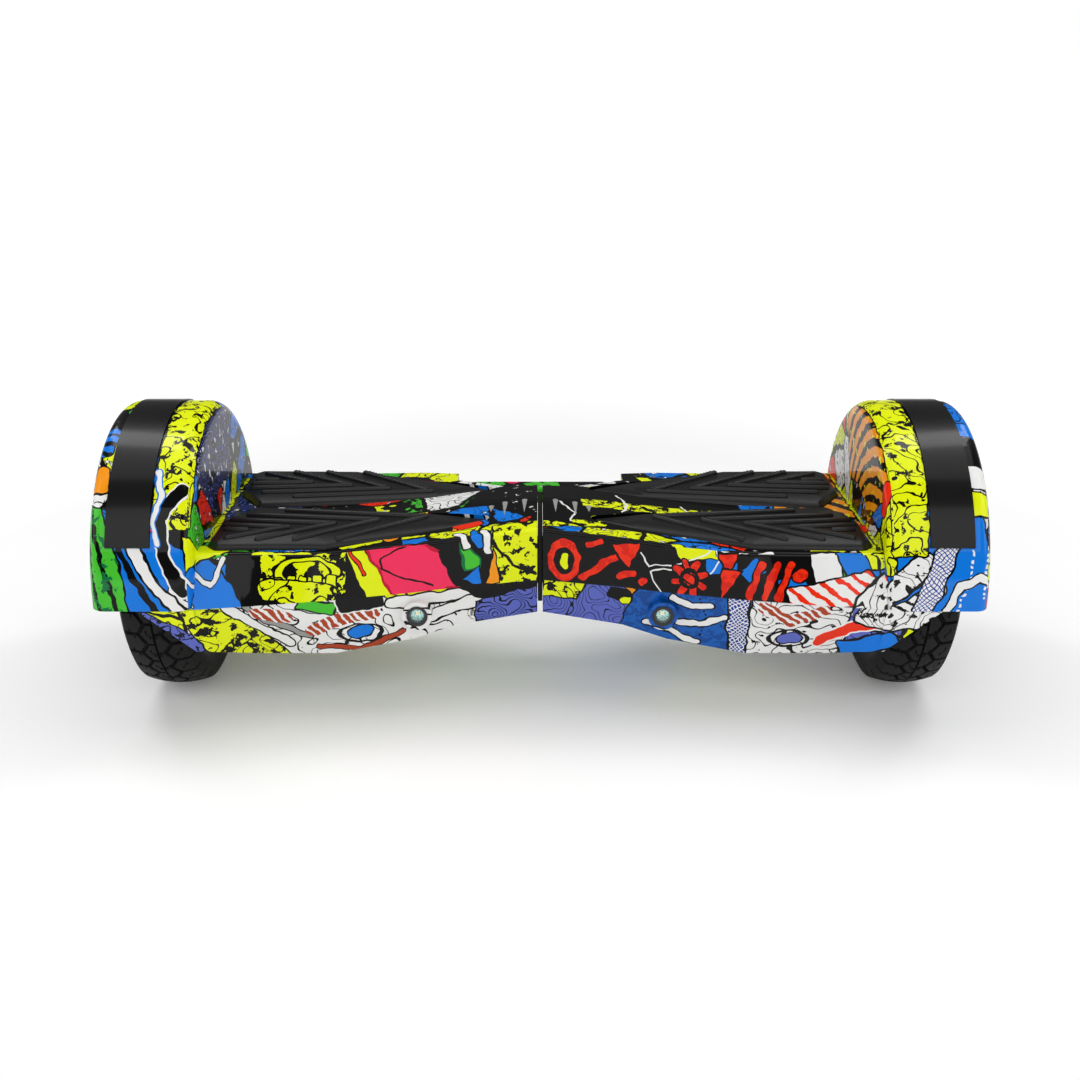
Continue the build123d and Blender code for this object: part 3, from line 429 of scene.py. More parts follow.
def capsule(start, end):
    """A rounded rib that lies on the pad's top between two points in millimetres."""
    length = math.dist(start, end) / 1000
    angle = math.atan2(end[1] - start[1], end[0] - start[0])
    bpy.ops.mesh.primitive_uv_sphere_add(segments=16, ring_count=10, radius=1)
    rib = bpy.context.object
    for vertex in rib.data.vertices:
        along = vertex.co.x * rib_half_width + (length if vertex.co.x > 0 else 0)
        aside = vertex.co.y * rib_half_width
        vertex.co = (start[0] / 1000 + along * math.cos(angle) - aside * math.sin(angle),
                     start[1] / 1000 + along * math.sin(angle) + aside * math.cos(angle),
                     pad_top + vertex.co.z * rib_height)
    return rib


def beads(start, end):
    """A row of beads along the crest of a rib."""
    length = math.dist(start, end) / 1000
    row = []
    for step in range(1, int(length / bead_pitch)):
        share = step * bead_pitch / length
        spot = [(near + share * (far - near)) / 1000 for near, far in zip(start, end)]
        bpy.ops.mesh.primitive_ico_sphere_add(subdivisions=2, radius=bead_radius,
                                              location=(*spot, pad_top + rib_height * 0.75))
        row.append(bpy.context.object)
    return row


for side, half in ((-1, "left"), (1, "right")):
    for facing, end in ((1, "front"), (-1, "rear")):
        bpy.ops.object.select_all(action="DESELECT")
        pad = nodes[f"{half}_{end}_foot_pad"].copy()
        pad.data = pad.data.copy()
        pad.name = f"{half}_{end}_ribbed_pad"
        bpy.context.scene.collection.objects.link(pad)
        pad.parent = None
        for key in [key for key in pad.keys() if key.startswith("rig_")]:
            del pad[key]
        pieces = [capsule(*short_rib)]
        for tip, deck_end, rim_end in chevrons:
            pieces += [capsule(tip, deck_end), capsule(tip, rim_end)]
            if end == "rear":
                pieces += beads(tip, rim_end)
        bpy.ops.object.select_all(action="DESELECT")
        for piece in pieces:
            piece.select_set(True)
        bpy.context.view_layer.objects.active = pieces[0]
        bpy.ops.object.join()
        ribs = bpy.context.object
        bpy.ops.object.transform_apply(location=True, rotation=True, scale=True)
        for vertex in ribs.data.vertices:
            vertex.co.x *= side
            vertex.co.y *= facing
        if side * facing < 0:
            ribs.data.flip_normals()
        pad.select_set(True)
        bpy.context.view_layer.objects.active = pad
        bpy.ops.object.join()
        bpy.ops.object.mode_set(mode="EDIT")
        bpy.ops.mesh.select_all(action="SELECT")
        bpy.ops.mesh.remove_doubles(threshold=0.00001)
        bpy.ops.object.mode_set(mode="OBJECT")
        bpy.ops.object.shade_smooth_by_angle(angle=math.radians(40))
        pad.data.materials.clear()
        pad.data.materials.append(pad_rubber)
        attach(pad, f"{half}_{end}_pad")
        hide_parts(f"{half}_{end}_foot_pad")

# ---- Lamps, windows and fender bands ---------------------------------------------------------
# A chromed bowl with a small white diode behind a clear lens in each black bezel, grey drops of
# light-pipe plastic at the waist, and a gloss black band over a light strip on each fender.
port_x = 0.087
port_z = 0.080
bowl_y = -0.0758
bowl_floor = 0.0022
bowl_mouth = 0.0045
bowl_depth = 0.0032


def chrome():
    """Vacuum-plated bowl, faceted and tinted sea green by its lens."""
    sheet = Sheet("bowl_chrome")
    dimples = sheet.node("TexVoronoi", {}, {"Vector": sheet.place(), "Scale": 900.0})
    sheet.set(Base_Color=sheet.mix(dimples, (0.35, 0.75, 0.72), (0.85, 0.97, 0.95)))
    sheet.set(Metallic=1.0, Roughness=0.08)
    sheet.set(Normal=sheet.bump(dimples, 0.5, 0.0004))
    return sheet.material


def clear_lens():
    """Clear polycarbonate with a faint green cast."""
    sheet = Sheet("clear_lens")
    swirl = sheet.noise(sheet.place(), 200.0, 2.0)
    sheet.set(Base_Color=sheet.mix(swirl, (0.55, 0.85, 0.82), (0.75, 0.95, 0.93)))
    sheet.set(Alpha=0.16, Roughness=0.03, Coat_Weight=1.0)
    return sheet.material


def diode():
    """White ceramic with a yellow square of phosphor in the middle."""
    sheet = Sheet("diode")
    x, _, z = sheet.parts(sheet.place())
    away = abs(abs(x) - port_x).most(abs(z - port_z))
    phosphor = away < 0.0009
    tint = sheet.mix(phosphor, (0.9, 0.92, 0.9), (0.95, 0.72, 0.08))
    sheet.set(Base_Color=tint, Roughness=0.3, Emission_Color=tint, Emission_Strength=0.5)
    return sheet.material


def window_plastic():
    """Cloudy grey light-pipe plastic with a gloss face."""
    sheet = Sheet("window_plastic")
    cloud = sheet.noise(sheet.place(), 150.0, 3.0)
    sheet.set(Base_Color=sheet.mix(cloud, (0.28, 0.28, 0.27), (0.42, 0.42, 0.40)), Roughness=0.22)
    sheet.set(Coat_Weight=0.6, Coat_Roughness=0.05)
    return sheet.material


def gloss_black():
    """Gloss black acrylic with faint ripples and a few hairlines."""
    sheet = Sheet("gloss_black")
    ripple = sheet.noise(sheet.place(), 18.0, 2.0)
    hair = sheet.noise(sheet.vector("MULTIPLY", sheet.place(), (60.0, 900.0, 900.0)), 1.0, 3.0)
    sheet.set(Base_Color=sheet.mix(ripple, (0.002, 0.002, 0.002), (0.004, 0.004, 0.004)))
    sheet.set(Roughness=0.26 + 0.10 * hair, Coat_Weight=0.2, Coat_Roughness=0.12, Specular_IOR_Level=0.15)
    sheet.set(Normal=sheet.bump(ripple, 0.08, 0.002))
    return sheet.material


bowl_chrome = chrome()
for side, half in ((-1, "left"), (1, "right")):
    bpy.ops.object.select_all(action="DESELECT")
    bpy.ops.mesh.primitive_cone_add(vertices=48, radius1=bowl_floor, radius2=bowl_mouth, depth=bowl_depth,
                                    end_fill_type="NOTHING", location=(side * port_x, bowl_y, port_z),
                                    rotation=(math.radians(90), 0, 0))
    bowl = bpy.context.object
    bowl.name = half + "_lamp_bowl"
    bpy.ops.object.transform_apply(location=True, rotation=True, scale=True)
    wall = bowl.modifiers.new("wall", "SOLIDIFY")
    wall.thickness = 0.0002
    bpy.ops.object.modifier_apply(modifier="wall")
    bpy.ops.object.shade_smooth_by_angle(angle=math.radians(40))
    bowl.data.materials.append(bowl_chrome)
    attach(bowl, half + "_half")
coat(clear_lens(), *both("headlamp_lens"))
coat(diode(), *both("headlamp_led"), *both("light_strip"))
coat(window_plastic(), *both("status_windows"))
coat(gloss_black(), *both("fender_band"))

# ---- Waist seal ------------------------------------------------------------------------------
# Black foam plate that closes the slit at the waist and rides with the right half, a quarter of a
# millimetre off that half's end and a third of a millimetre off the left half's. It stops short of
# the hand space at the rear. It has no hole for the pivot tube and its washer, which run through it.
seal_corners = [(-48, 78), (-52.5, 98), (-56, 134.5), (-5, 138), (5, 138), (34, 135), (34, 78)]
seal_thickness = 0.0034
bpy.ops.object.select_all(action="DESELECT")
bpy.ops.mesh.primitive_circle_add(vertices=len(seal_corners), radius=0.05, fill_type="NGON")
seal = bpy.context.object
seal.name = "waist_seal"
for vertex, (y, z) in zip(seal.data.vertices, reversed(seal_corners)):
    vertex.co = (0.00175, y / 1000, z / 1000)
bpy.ops.object.mode_set(mode="EDIT")
bpy.ops.mesh.select_all(action="SELECT")
bpy.ops.mesh.extrude_region_move(TRANSFORM_OT_translate={"value": (-seal_thickness, 0, 0)})
bpy.ops.mesh.select_all(action="SELECT")
bpy.ops.mesh.bevel(offset=0.0005, segments=2)
bpy.ops.mesh.select_all(action="SELECT")
bpy.ops.mesh.normals_make_consistent(inside=False)
bpy.ops.object.mode_set(mode="OBJECT")
bpy.ops.object.transform_apply(location=True, rotation=True, scale=True)
seal.data.materials.append(rubber("seal_foam", 0.012, 2200.0))
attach(seal, "right_half")

# ---- Printed shells --------------------------------------------------------------------------
# Moulded shells with a comic-style film print under clear coat. The film is laid over each shell
# on its own, so the drawing breaks at the seam and at the waist. Sizes on it are millimetres of
# film, along the board and up the front wall, then over the rim or up over the fender.
def shade(red, green, blue):
    """A print colour from its 0 to 255 values."""
    return tuple((value / 255) ** 2.2 for value in (red, green, blue))


BLACK = shade(5, 5, 6)
YELLOW = shade(228, 240, 12)
BLUE = shade(12, 118, 220)
DEEP_BLUE = shade(30, 60, 150)
RED = shade(238, 48, 16)
PINK = shade(244, 48, 92)
CRIMSON = shade(190, 14, 50)
GREEN = shade(70, 190, 50)
DARK_GREEN = shade(4, 110, 60)
WHITE = shade(236, 236, 234)
GREY = shade(150, 150, 148)
ORANGE = shade(245, 150, 25)
BROWN = shade(170, 66, 36)
VIOLET = shade(92, 104, 190)


class Film:
    """A print being drawn: shapes are laid on it one over another, each with its inked outline."""

    def __init__(self, sheet, along, up):
        self.sheet = sheet
        flat = sheet.node("CombineXYZ", {}, {0: along, 1: up})
        wobble = sheet.node("TexNoise", {}, {"Vector": flat, "Scale": 0.09, "Detail": 1.0}, 1)
        self.at = sheet.vector("ADD", flat, sheet.vector("SCALE", wobble, scale=6.0))
        self.at = sheet.vector("SUBTRACT", self.at, (3.0, 3.0, 3.0))
        self.along, self.up, _ = sheet.parts(self.at)
        self.blots = sheet.noise(self.at, 0.125, 4.0, 0.62)
        self.waves = sheet.noise(self.at, 0.035, 1.0)
        self.colour = BLACK

    def bar(self, start, end, half, corner=None):
        """A straight bar with rounded corners, given by the ends of its middle line."""
        corner = half if corner is None else corner
        length = math.dist(start, end)
        angle = math.atan2(end[1] - start[1], end[0] - start[0])
        middle = ((start[0] + end[0]) / 2, (start[1] + end[1]) / 2, 0.0)
        local = self.sheet.node("Mapping", {"vector_type": "TEXTURE"},
                                {"Vector": self.at, "Location": middle, "Rotation": (0.0, 0.0, angle)})
        folded = self.sheet.vector("ABSOLUTE", local)
        past = self.sheet.vector("SUBTRACT", folded, (length / 2, half - corner, 1000.0))
        past = self.sheet.vector("MAXIMUM", past, (0.0, 0.0, 0.0))
        return self.sheet.vector("LENGTH", past, output=1), corner

    def stroke(self, points, half):
        """A line of bars through the points."""
        fields = [self.bar(start, end, half)[0] for start, end in zip(points, points[1:])]
        nearest = fields[0]
        for field in fields[1:]:
            nearest = nearest.least(field)
        return nearest, half

    def patch(self, points):
        """The inside of a convex outline, given clockwise or not."""
        area = sum(a[0] * b[1] - b[0] * a[1] for a, b in zip(points, points[1:] + points[:1]))
        turn = 1 if area > 0 else -1
        furthest = None
        for near, far in zip(points, points[1:] + points[:1]):
            length = math.dist(near, far)
            out = (turn * (far[1] - near[1]) / length, -turn * (far[0] - near[0]) / length, 0.0)
            reach = near[0] * out[0] + near[1] * out[1]
            side = self.sheet.vector("DOT_PRODUCT", self.at, out, output=1) - reach
            furthest = side if furthest is None else furthest.most(side)
        return furthest, 0.0

    def ring(self, middle, wide, high, half):
        """An oval ring."""
        local = self.sheet.node("Mapping", {"vector_type": "TEXTURE"},
                                {"Vector": self.at, "Location": (*middle, 0.0),
                                 "Scale": (wide, high, 1000.0)})
        return abs(self.sheet.vector("LENGTH", local, output=1) - 1.0) * ((wide + high) / 2), half

    def lay(self, shape, colour, line=1.3, ink=BLACK):
        """Lay a shape in a colour, with an inked outline of the given width."""
        field, edge = shape
        if line:
            self.colour = self.sheet.mix(field < edge + line, self.colour, ink)
        self.colour = self.sheet.mix(field < edge, self.colour, colour)

    def contours(self, count, width):
        """Thin lines that follow the lie of a slow noise, as in pen drawing."""
        return (self.waves * count).fraction() < width

    def splashed(self, under, over, level):
        """One colour broken by blots of another."""
        return self.sheet.mix(self.blots > level, under, over)

    def inked(self, colour, level=0.60):
        """A colour with pen lines and blots of ink."""
        return self.sheet.mix(self.contours(10.0, 0.15), self.splashed(colour, BLACK, level), BLACK)

    def striped(self, first, second, angle, pitch, share):
        """Torn stripes of two colours."""
        run = self.along * math.cos(angle) + self.up * math.sin(angle)
        stripe = ((run + self.blots * 5.0) * (1.0 / pitch)).fraction() < share
        return self.sheet.mix(stripe, first, second)

    def crosshatch(self, under, over, pitch):
        """Two crossing sets of thin lines."""
        one = ((self.along + self.up) * (1.0 / pitch)).fraction() < 0.26
        other = ((self.along - self.up) * (1.0 / pitch)).fraction() < 0.26
        return self.sheet.mix(one.most(other), under, over)

    def scenery(self, size, palette):
        """Inked patches of many colours, which fill the film behind the drawn shapes."""
        seeds = {"Vector": self.at, "Scale": 1.0 / size}
        edge = self.sheet.node("TexVoronoi", {"feature": "DISTANCE_TO_EDGE"}, seeds)
        pick = self.sheet.node("TexVoronoi", {}, seeds, 1)
        stops = [(place / len(palette), colour) for place, colour in enumerate(palette)]
        fill = self.sheet.node("ValToRGB", {"stops": stops, "interpolation": "CONSTANT"}, {0: pick})
        drawn = self.sheet.mix(self.contours(13.0, 0.12), fill, BLACK)
        drawn = self.sheet.mix(self.blots > 0.64, drawn, WHITE)
        drawn = self.sheet.mix((self.blots > 0.605) * (self.blots < 0.645), drawn, BLACK)
        self.colour = self.sheet.mix(edge < 0.045, drawn, BLACK)

    def finish(self):
        """Clear-coated gloss over the print, with a faint orange peel."""
        peel = self.sheet.noise(self.sheet.place(), 260.0, 2.0)
        self.sheet.set(Base_Color=self.colour, Roughness=0.34 + 0.06 * peel)
        self.sheet.set(Coat_Weight=0.35, Coat_Roughness=0.04, Specular_IOR_Level=0.05)
        self.sheet.set(Normal=self.sheet.bump(peel, 0.03, 0.0006))
        return self.sheet.material


fender_edge = 235.9
fender_middle = 250.0
fender_radius = 113.0
axle_height = 100.0
rim_height = 135.0
waist_half_depth = 58.5
pod_half_depth = 90.5
rim_flare = 0.27


def upper_film(name):
    """The upper shells' film: up the front wall and over the deck, or up over the fender."""
    sheet = Sheet(name)
    x, y, z = sheet.parts(sheet.vector("SCALE", sheet.place(), scale=1000.0))
    nx, ny, nz = sheet.parts(sheet.normal())
    rim = (abs(x) * rim_flare + waist_half_depth).least(pod_half_depth)
    over_top = y + rim + rim_height
    down_rear = rim * 2.0 + rim_height * 2.0 - z
    up = z + (nz > 0.6) * (over_top - z)
    up = up + (ny > 0.6) * (down_rear - up)
    high = z - axle_height
    round_fender = sheet.math("ARCTAN2", high, y * -1.0) * fender_radius + axle_height
    on_fender = abs(x) > fender_edge
    up = up + on_fender * (round_fender - up)
    radius = sheet.math("SQRT", y * y + high * high)
    down_side = sheet.math("SIGN", x) * (fender_radius - radius)
    away_from_deck = (abs(x) > fender_middle) * 2.0 - 1.0
    along = x + on_fender * (abs(nx) > 0.7) * away_from_deck * down_side
    return Film(sheet, along, up)


def left_upper_print():
    """Left upper shell: yellow ink and pink on black, with green flames on the fender."""
    film = upper_film("left_upper_print")
    film.scenery(34.0, [BLACK, YELLOW, BLUE, BLACK, GREEN, RED, YELLOW, BLACK, WHITE, BLUE, BLACK, PINK])
    film.lay(film.bar((-214, 116), (0, 116), 22, 1), BLACK, 0)
    film.lay(film.bar((-190, 121), (-137, 118), 16, 2), film.splashed(BLACK, YELLOW, 0.50), 0)
    film.lay(film.ring((-160, 119), 19, 9, 1.6), YELLOW, 1.6)
    for tooth in range(5):
        film.lay(film.bar((-181 + tooth * 9, 108), (-180 + tooth * 9, 115), 2.6, 1), YELLOW, 1.2)
    film.lay(film.bar((-196, 134), (-131, 133), 2.2), YELLOW, 0)
    film.lay(film.bar((-186, 108), (-150, 102), 7.5), film.inked(YELLOW, 0.57))
    film.lay(film.patch([(-134, 136), (-122, 136), (-103, 96), (-120, 95)]), YELLOW, 1.0)
    pink = film.patch([(-119, 136), (-84, 135), (-70, 126), (-58, 99), (-102, 96)])
    film.lay(pink, PINK, 1.8, CRIMSON)
    film.lay(film.stroke([(-93, 135), (-110, 126), (-111, 118), (-76, 101)], 0.7), BLACK, 0)
    film.lay(film.stroke([(-131, 134), (-122, 116)], 1.0), RED, 0.8)
    film.lay(film.patch([(-72, 128), (-54, 136), (-52, 98), (-60, 98)]), BLACK, 0)
    film.lay(film.patch([(-55, 134), (-43, 118), (-43, 112), (-53, 111)]), GREEN, 1.4, DARK_GREEN)
    film.lay(film.patch([(-55, 104), (-43, 112), (-43, 99)]), BLUE, 1.0)
    for start, end, colour in (((-57, 142), (-51, 130), WHITE), ((-47, 143), (-42, 130), BLUE),
                               ((-39, 143), (-36, 124), WHITE)):
        film.lay(film.bar(start, end, 2.4), colour, 1.2)
    film.lay(film.bar((-32, 124), (-1, 124), 27, 1), film.splashed(YELLOW, BLACK, 0.55), 1.2)
    film.lay(film.patch([(-32, 124), (-39, 99), (-29, 99)]), ORANGE, 1.0)
    film.lay(film.stroke([(-33, 132), (-19, 111), (-3, 104)], 1.3), BLACK, 0)
    film.lay(film.bar((-50, 160), (-120, 168), 8), RED, 1.4)
    film.lay(film.stroke([(-60, 152), (-84, 176), (-104, 150), (-128, 178)], 2.2), ORANGE, 1.0)
    cloth = film.patch([(-296, 90), (-202, 90), (-211, 112), (-235, 137), (-262, 152), (-296, 140)])
    film.lay(cloth, BLUE, 1.2)
    film.lay(film.stroke([(-216, 128), (-226, 112), (-238, 120), (-240, 104)], 1.5), WHITE, 0.8)
    film.lay(film.stroke([(-256, 136), (-246, 124), (-250, 110), (-238, 100)], 1.5), WHITE, 0.8)
    film.lay(film.patch([(-240, 150), (-228, 146), (-214, 139), (-222, 131), (-240, 124)]), YELLOW)
    film.lay(film.stroke([(-276, 146), (-262, 118), (-244, 96)], 3.4), WHITE, 1.6)
    film.lay(film.stroke([(-284, 140), (-268, 110), (-258, 94)], 2.6), BLACK, 0)
    film.lay(film.bar((-246, 158), (-246, 300), 15, 3), film.inked(YELLOW, 0.56))
    film.lay(film.bar((-150, 160), (-64, 156), 5, 2), BLACK, 0)
    film.lay(film.stroke([(-243, 184), (-257, 162), (-254, 138), (-243, 112)], 4.2), BLACK, 1.2, WHITE)
    film.lay(film.stroke([(-261, 196), (-256, 176), (-262, 160), (-258, 144)], 1.6), WHITE, 1.0, BLUE)
    flames = film.striped(GREEN, BLACK, 0.25, 11.0, 0.34)
    flames = film.sheet.mix(film.blots > 0.57, flames, DARK_GREEN)
    film.lay(film.patch([(-310, 92), (-272, 92), (-284, 128), (-290, 168), (-310, 172)]), flames)
    film.lay(film.bar((-301, 182), (-301, 198), 7, 2), ORANGE)
    film.lay(film.bar((-301, 212), (-301, 236), 7, 2), film.striped(BLUE, BLACK, 1.2, 9.0, 0.4))
    scribble = film.sheet.mix(film.contours(22.0, 0.2), BLACK, VIOLET)
    film.lay(film.bar((-205, 205), (-205, 310), 27, 8), film.sheet.mix(film.blots > 0.62, scribble, WHITE))
    return film.finish()


def right_upper_print():
    """Right upper shell: red brush strokes on black, torn stripes and blue cloth by the fender."""
    film = upper_film("right_upper_print")
    film.scenery(36.0, [BLACK, YELLOW, BLACK, BLUE, WHITE, YELLOW, BLACK, RED, BLUE, YELLOW, BLACK, GREEN])
    film.lay(film.bar((0, 116), (206, 116), 22, 1), BLACK, 0)
    film.lay(film.bar((-2, 192), (150, 204), 46, 2), BLACK, 0)
    film.lay(film.bar((34, 200), (150, 214), 8, 3), film.inked(YELLOW, 0.53))
    film.lay(film.bar((2, 146), (44, 160), 5, 3), film.splashed(YELLOW, BLACK, 0.50))
    for points in ([(14, 196), (26, 176), (22, 158)], [(58, 226), (66, 206), (60, 190)],
                   [(112, 206), (106, 222)]):
        film.lay(film.stroke(points, 0.9), WHITE, 0)
    film.lay(film.bar((8, 258), (100, 284), 5, 1), film.striped(YELLOW, BLACK, 0.4, 24.0, 0.6))
    film.lay(film.bar((176, 224), (234, 226), 15, 2), film.striped(BLUE, DEEP_BLUE, 0.5, 9.0, 0.4))
    film.lay(film.stroke([(172, 218), (196, 230), (228, 222)], 1.2), WHITE, 0)
    for start, end in (((116, 121), (135, 124)), ((143, 115), (152, 123)), ((166, 108), (182, 112))):
        film.lay(film.bar(start, end, 6, 1), BLUE, 1.2)
    film.lay(film.patch([(91, 137), (141, 134), (126, 127), (98, 125)]), YELLOW, 0.8)
    film.lay(film.bar((124, 131), (160, 134), 1.8), WHITE, 0.8)
    for corners in ([(70, 127), (75, 117), (93, 119), (122, 133)], [(96, 117), (77, 113), (86, 96)],
                    [(122, 132), (125, 126), (118, 116)]):
        film.lay(film.stroke(corners, 0.55), WHITE, 0)
    red = film.splashed(RED, shade(214, 34, 12), 0.5)
    film.lay(film.ring((17, 115), 9.5, 13.5, 2.6), red, 1.2)
    film.lay(film.bar((17, 111), (17, 118), 2.4), YELLOW, 1.0)
    film.lay(film.stroke([(30, 103), (58, 126)], 2.8), red, 1.2)
    film.lay(film.patch([(50, 131), (70, 134), (62, 114)]), red, 1.4)
    for start, end in (((34, 128), (42, 132)), ((56, 106), (66, 110)), ((72, 104), (74, 105))):
        film.lay(film.bar(start, end, 2.3), red, 1.2)
    for turn in range(4):
        reach = (10.5 * math.cos(turn * math.pi / 4 + 0.3), 12.5 * math.sin(turn * math.pi / 4 + 0.3))
        film.lay(film.bar((104 - reach[0], 111 - reach[1]), (104 + reach[0], 111 + reach[1]), 2.3), red, 1.2)
    film.lay(film.ring((104, 111), 5.5, 6.5, 1.6), BLACK, 0)
    film.lay(film.patch([(124, 131), (136, 131), (130, 114)]), red, 1.4)
    film.lay(film.patch([(127, 119), (139, 119), (126, 97)]), red, 1.4)
    for middle in (148, 158, 168):
        film.lay(film.bar((middle - 3, 101), (middle + 5, 124), 2.5), red, 1.2)
    film.lay(film.bar((178, 116), (180, 118), 3.6), red, 1.2)
    film.lay(film.patch([(184, 135), (207, 135), (206, 106), (192, 104)]), WHITE, 1.4)
    film.lay(film.patch([(203, 135), (236, 135), (234, 108), (214, 110)]), BLUE, 1.4)
    film.lay(film.bar((236, 124), (300, 132), 40, 3), BLUE, 1.2)
    film.lay(film.bar((176, 99), (226, 112), 9, 4), film.striped(WHITE, RED, 1.0, 8.0, 0.38))
    film.lay(film.bar((222, 98), (262, 132), 7.5, 5), film.inked(WHITE, 0.60), 1.6)
    film.lay(film.bar((240, 94), (270, 116), 4.5, 3), film.striped(WHITE, BLACK, 1.2, 7.0, 0.3), 1.4)
    film.lay(film.bar((259, 98), (277, 146), 6.5, 2), film.crosshatch(WHITE, DEEP_BLUE, 3.4), 1.4)
    for points in ([(284, 98), (292, 128), (288, 160)], [(300, 104), (304, 150)]):
        film.lay(film.stroke(points, 0.8), film.striped(BLUE, WHITE, 1.5, 4.0, 0.5), 0)
    film.lay(film.stroke([(276, 98), (284, 116), (298, 122), (306, 116)], 2.6), WHITE, 1.2)
    film.lay(film.patch([(212, 152), (240, 168), (240, 124), (228, 122)]), film.inked(YELLOW, 0.60), 1.2)
    film.lay(film.bar((248, 140), (248, 310), 14, 3), film.inked(YELLOW, 0.57))
    for middle, colour in ((172, YELLOW), (192, WHITE), (214, BLACK), (236, BLUE)):
        film.lay(film.bar((300, middle - 7), (300, middle + 7), 8, 1), colour, 1.4)
    fire = film.striped(BLACK, ORANGE, 0.7, 15.0, 0.55)
    film.lay(film.bar((205, 190), (205, 320), 28, 8), film.sheet.mix(film.blots > 0.62, fire, YELLOW))
    film.lay(film.bar((222, 172), (232, 186), 6), RED)
    return film.finish()


def lower_film(name):
    """The lower shells' film: down the front wall, under the belly and up the rear."""
    sheet = Sheet(name)
    x, y, z = sheet.parts(sheet.vector("SCALE", sheet.place(), scale=1000.0))
    _, ny, nz = sheet.parts(sheet.normal())
    under = y * -1.0 - 26.0
    up = z + (nz < -0.75) * (under - z)
    up = up + (ny > 0.4) * (z * -1.0 - 52.0 - up)
    return Film(sheet, x, up)


def left_lower_print():
    """Left lower shell: white with brown bristles and pen lines, yellow ink, violet bevels."""
    film = lower_film("left_lower_print")
    film.scenery(30.0, [WHITE, BLUE, YELLOW, BLACK, VIOLET, WHITE, YELLOW, BLACK, GREEN, WHITE])
    film.lay(film.bar((-232, 72), (-60, 72), 30, 1), film.inked(WHITE, 0.63), 0)
    film.lay(film.bar((-276, 86), (-236, 62), 11, 3), film.inked(VIOLET, 0.57))
    film.lay(film.patch([(-247, 99), (-222, 99), (-176, 47), (-226, 47)]), film.inked(YELLOW, 0.54))
    film.lay(film.stroke([(-216, 97), (-196, 76), (-178, 60)], 3.2), WHITE, 1.3)
    film.lay(film.stroke([(-203, 97), (-190, 82), (-164, 66)], 2.4), GREY, 1.1)
    bristles = film.striped(WHITE, BROWN, 0.5, 5.0, 0.62)
    film.lay(film.bar((-196, 90), (-178, 84), 5.5), bristles, 0)
    film.lay(film.stroke([(-160, 70), (-142, 80), (-118, 84)], 5.5), bristles, 0)
    film.lay(film.bar((-166, 96), (-146, 90), 5, 2), GREEN, 1.4)
    film.lay(film.bar((-140, 92), (-112, 94), 6.5, 2), BLACK, 1.0, WHITE)
    film.lay(film.ring((-128, 66), 15, 7.5, 1.2), BLACK, 0)
    film.lay(film.bar((-131, 66), (-124, 68), 4.6), BLUE, 1.2)
    film.lay(film.stroke([(-158, 56), (-128, 52), (-98, 66)], 1.8), BROWN, 0.8)
    film.lay(film.patch([(-113, 100), (-60, 99), (-62, 87), (-100, 89)]), film.inked(YELLOW, 0.55))
    film.lay(film.bar((-104, 90), (-40, 92), 4.4), WHITE, 1.4)
    film.lay(film.bar((-84, 74), (-36, 88), 4.6), WHITE, 1.4)
    film.lay(film.patch([(-62, 99), (-2, 99), (-2, 90), (-40, 84)]), BLACK, 0)
    scribble = film.sheet.mix(film.contours(26.0, 0.28), VIOLET, BLACK)
    film.lay(film.patch([(-46, 84), (-2, 92), (-2, 66), (-46, 66)]), scribble, 1.2)
    return film.finish()


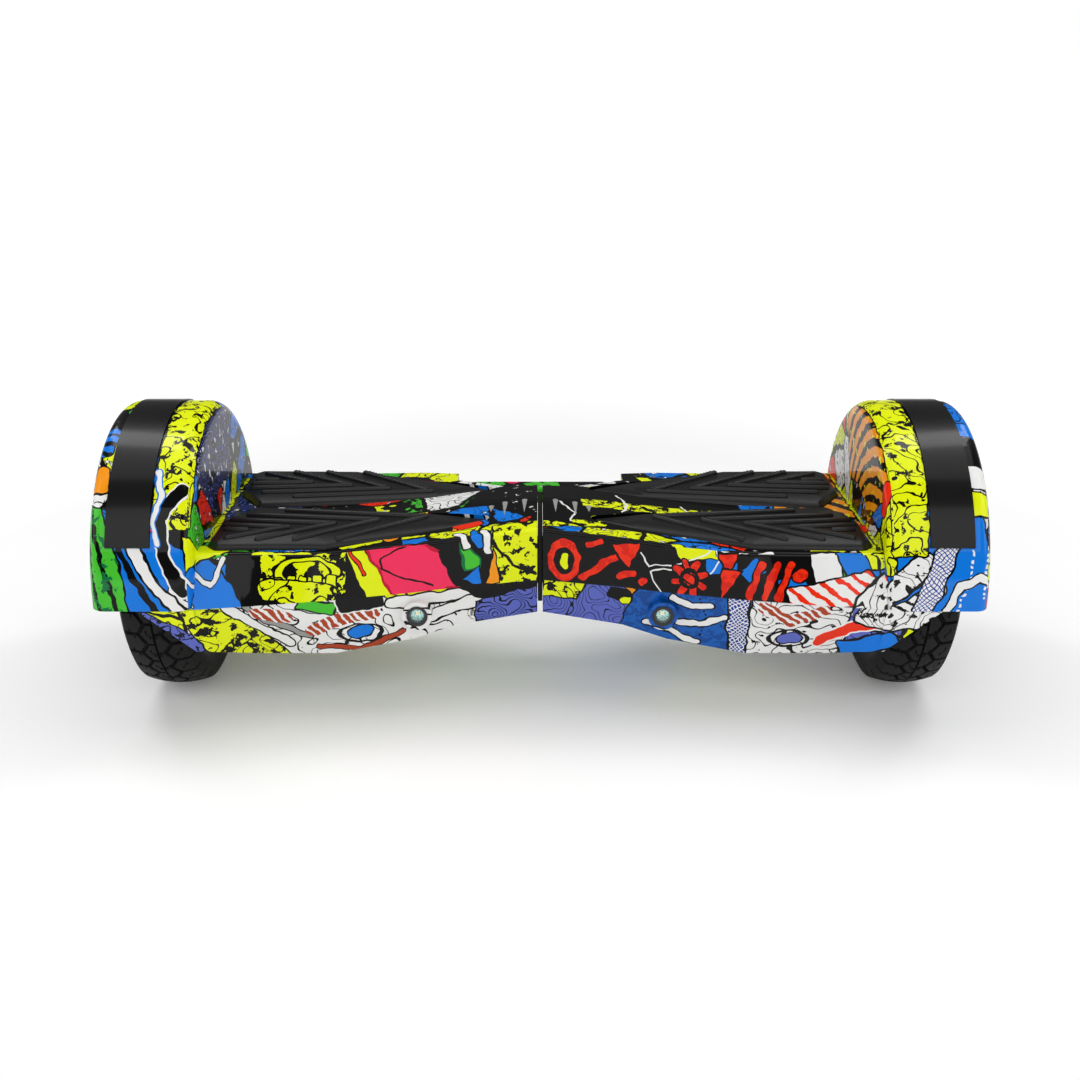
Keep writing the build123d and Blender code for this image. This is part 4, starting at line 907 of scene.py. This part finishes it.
def right_lower_print():
    """Right lower shell: violet panels and yellow at the waist, blue cloth, white with pen lines."""
    film = lower_film("right_lower_print")
    film.scenery(30.0, [BLUE, WHITE, BLACK, VIOLET, WHITE, BLUE, YELLOW, WHITE, BLACK, BLUE])
    film.lay(film.bar((2, 80), (66, 80), 24, 1), film.sheet.mix(film.contours(20.0, 0.16), VIOLET, BLACK), 0)
    film.lay(film.patch([(3, 99), (32, 99), (26, 84), (3, 84)]), film.inked(YELLOW, 0.56))
    film.lay(film.bar((52, 92), (70, 86), 5), BLACK, 0)
    film.lay(film.patch([(60, 97), (75, 97), (70, 88)]), ORANGE, 1.0)
    film.lay(film.bar((60, 86), (82, 87), 2.4), YELLOW, 1.0)
    cloth = film.sheet.mix(film.blots > 0.5, shade(26, 92, 176), shade(20, 74, 150))
    film.lay(film.patch([(70, 100), (148, 100), (136, 47), (58, 62)]), cloth, 1.4)
    for points in ([(112, 98), (118, 74), (112, 52)], [(134, 98), (130, 72)]):
        film.lay(film.stroke(points, 0.6), film.striped(shade(26, 92, 176), BLACK, 1.5, 3.6, 0.5), 0)
    for points in ([(94, 94), (108, 88), (120, 90)], [(96, 74), (114, 72), (130, 80)],
                   [(76, 70), (92, 66), (112, 56)]):
        film.lay(film.stroke(points, 2.2), WHITE, 1.2)
    film.lay(film.bar((138, 100), (142, 47), 6.5, 1), film.crosshatch(DEEP_BLUE, WHITE, 3.4), 1.4)
    film.lay(film.bar((150, 72), (212, 72), 30, 2), film.inked(WHITE, 0.62), 1.4)
    bristles = film.striped(WHITE, BROWN, 0.9, 5.0, 0.6)
    film.lay(film.stroke([(156, 92), (176, 80), (196, 92)], 5.0), bristles, 0)
    film.lay(film.ring((176, 64), 13, 8, 1.2), BLACK, 0)
    film.lay(film.bar((173, 63), (181, 65), 4.2), VIOLET, 1.2)
    film.lay(film.stroke([(198, 62), (216, 78), (240, 88)], 4.0), RED, 1.4, WHITE)
    film.lay(film.bar((222, 92), (276, 90), 9, 3), film.inked(WHITE, 0.58), 1.6)
    film.lay(film.bar((214, 58), (244, 74), 6, 2), BLUE, 1.4)
    return film.finish()


coat(left_upper_print(), "left_upper_shell")
coat(right_upper_print(), "right_upper_shell")
coat(left_lower_print(), "left_lower_shell")
coat(right_lower_print(), "right_lower_shell")


def handle_print():
    """Carry handle: green and pink film on black."""
    sheet = Sheet("handle_print")
    x, y, z = sheet.parts(sheet.vector("SCALE", sheet.place(), scale=1000.0))
    film = Film(sheet, x, y + z)
    film.scenery(22.0, [BLACK, GREEN, BLACK, PINK, GREEN, BLACK, DARK_GREEN])
    return film.finish()


coat(handle_print(), "carry_handle")
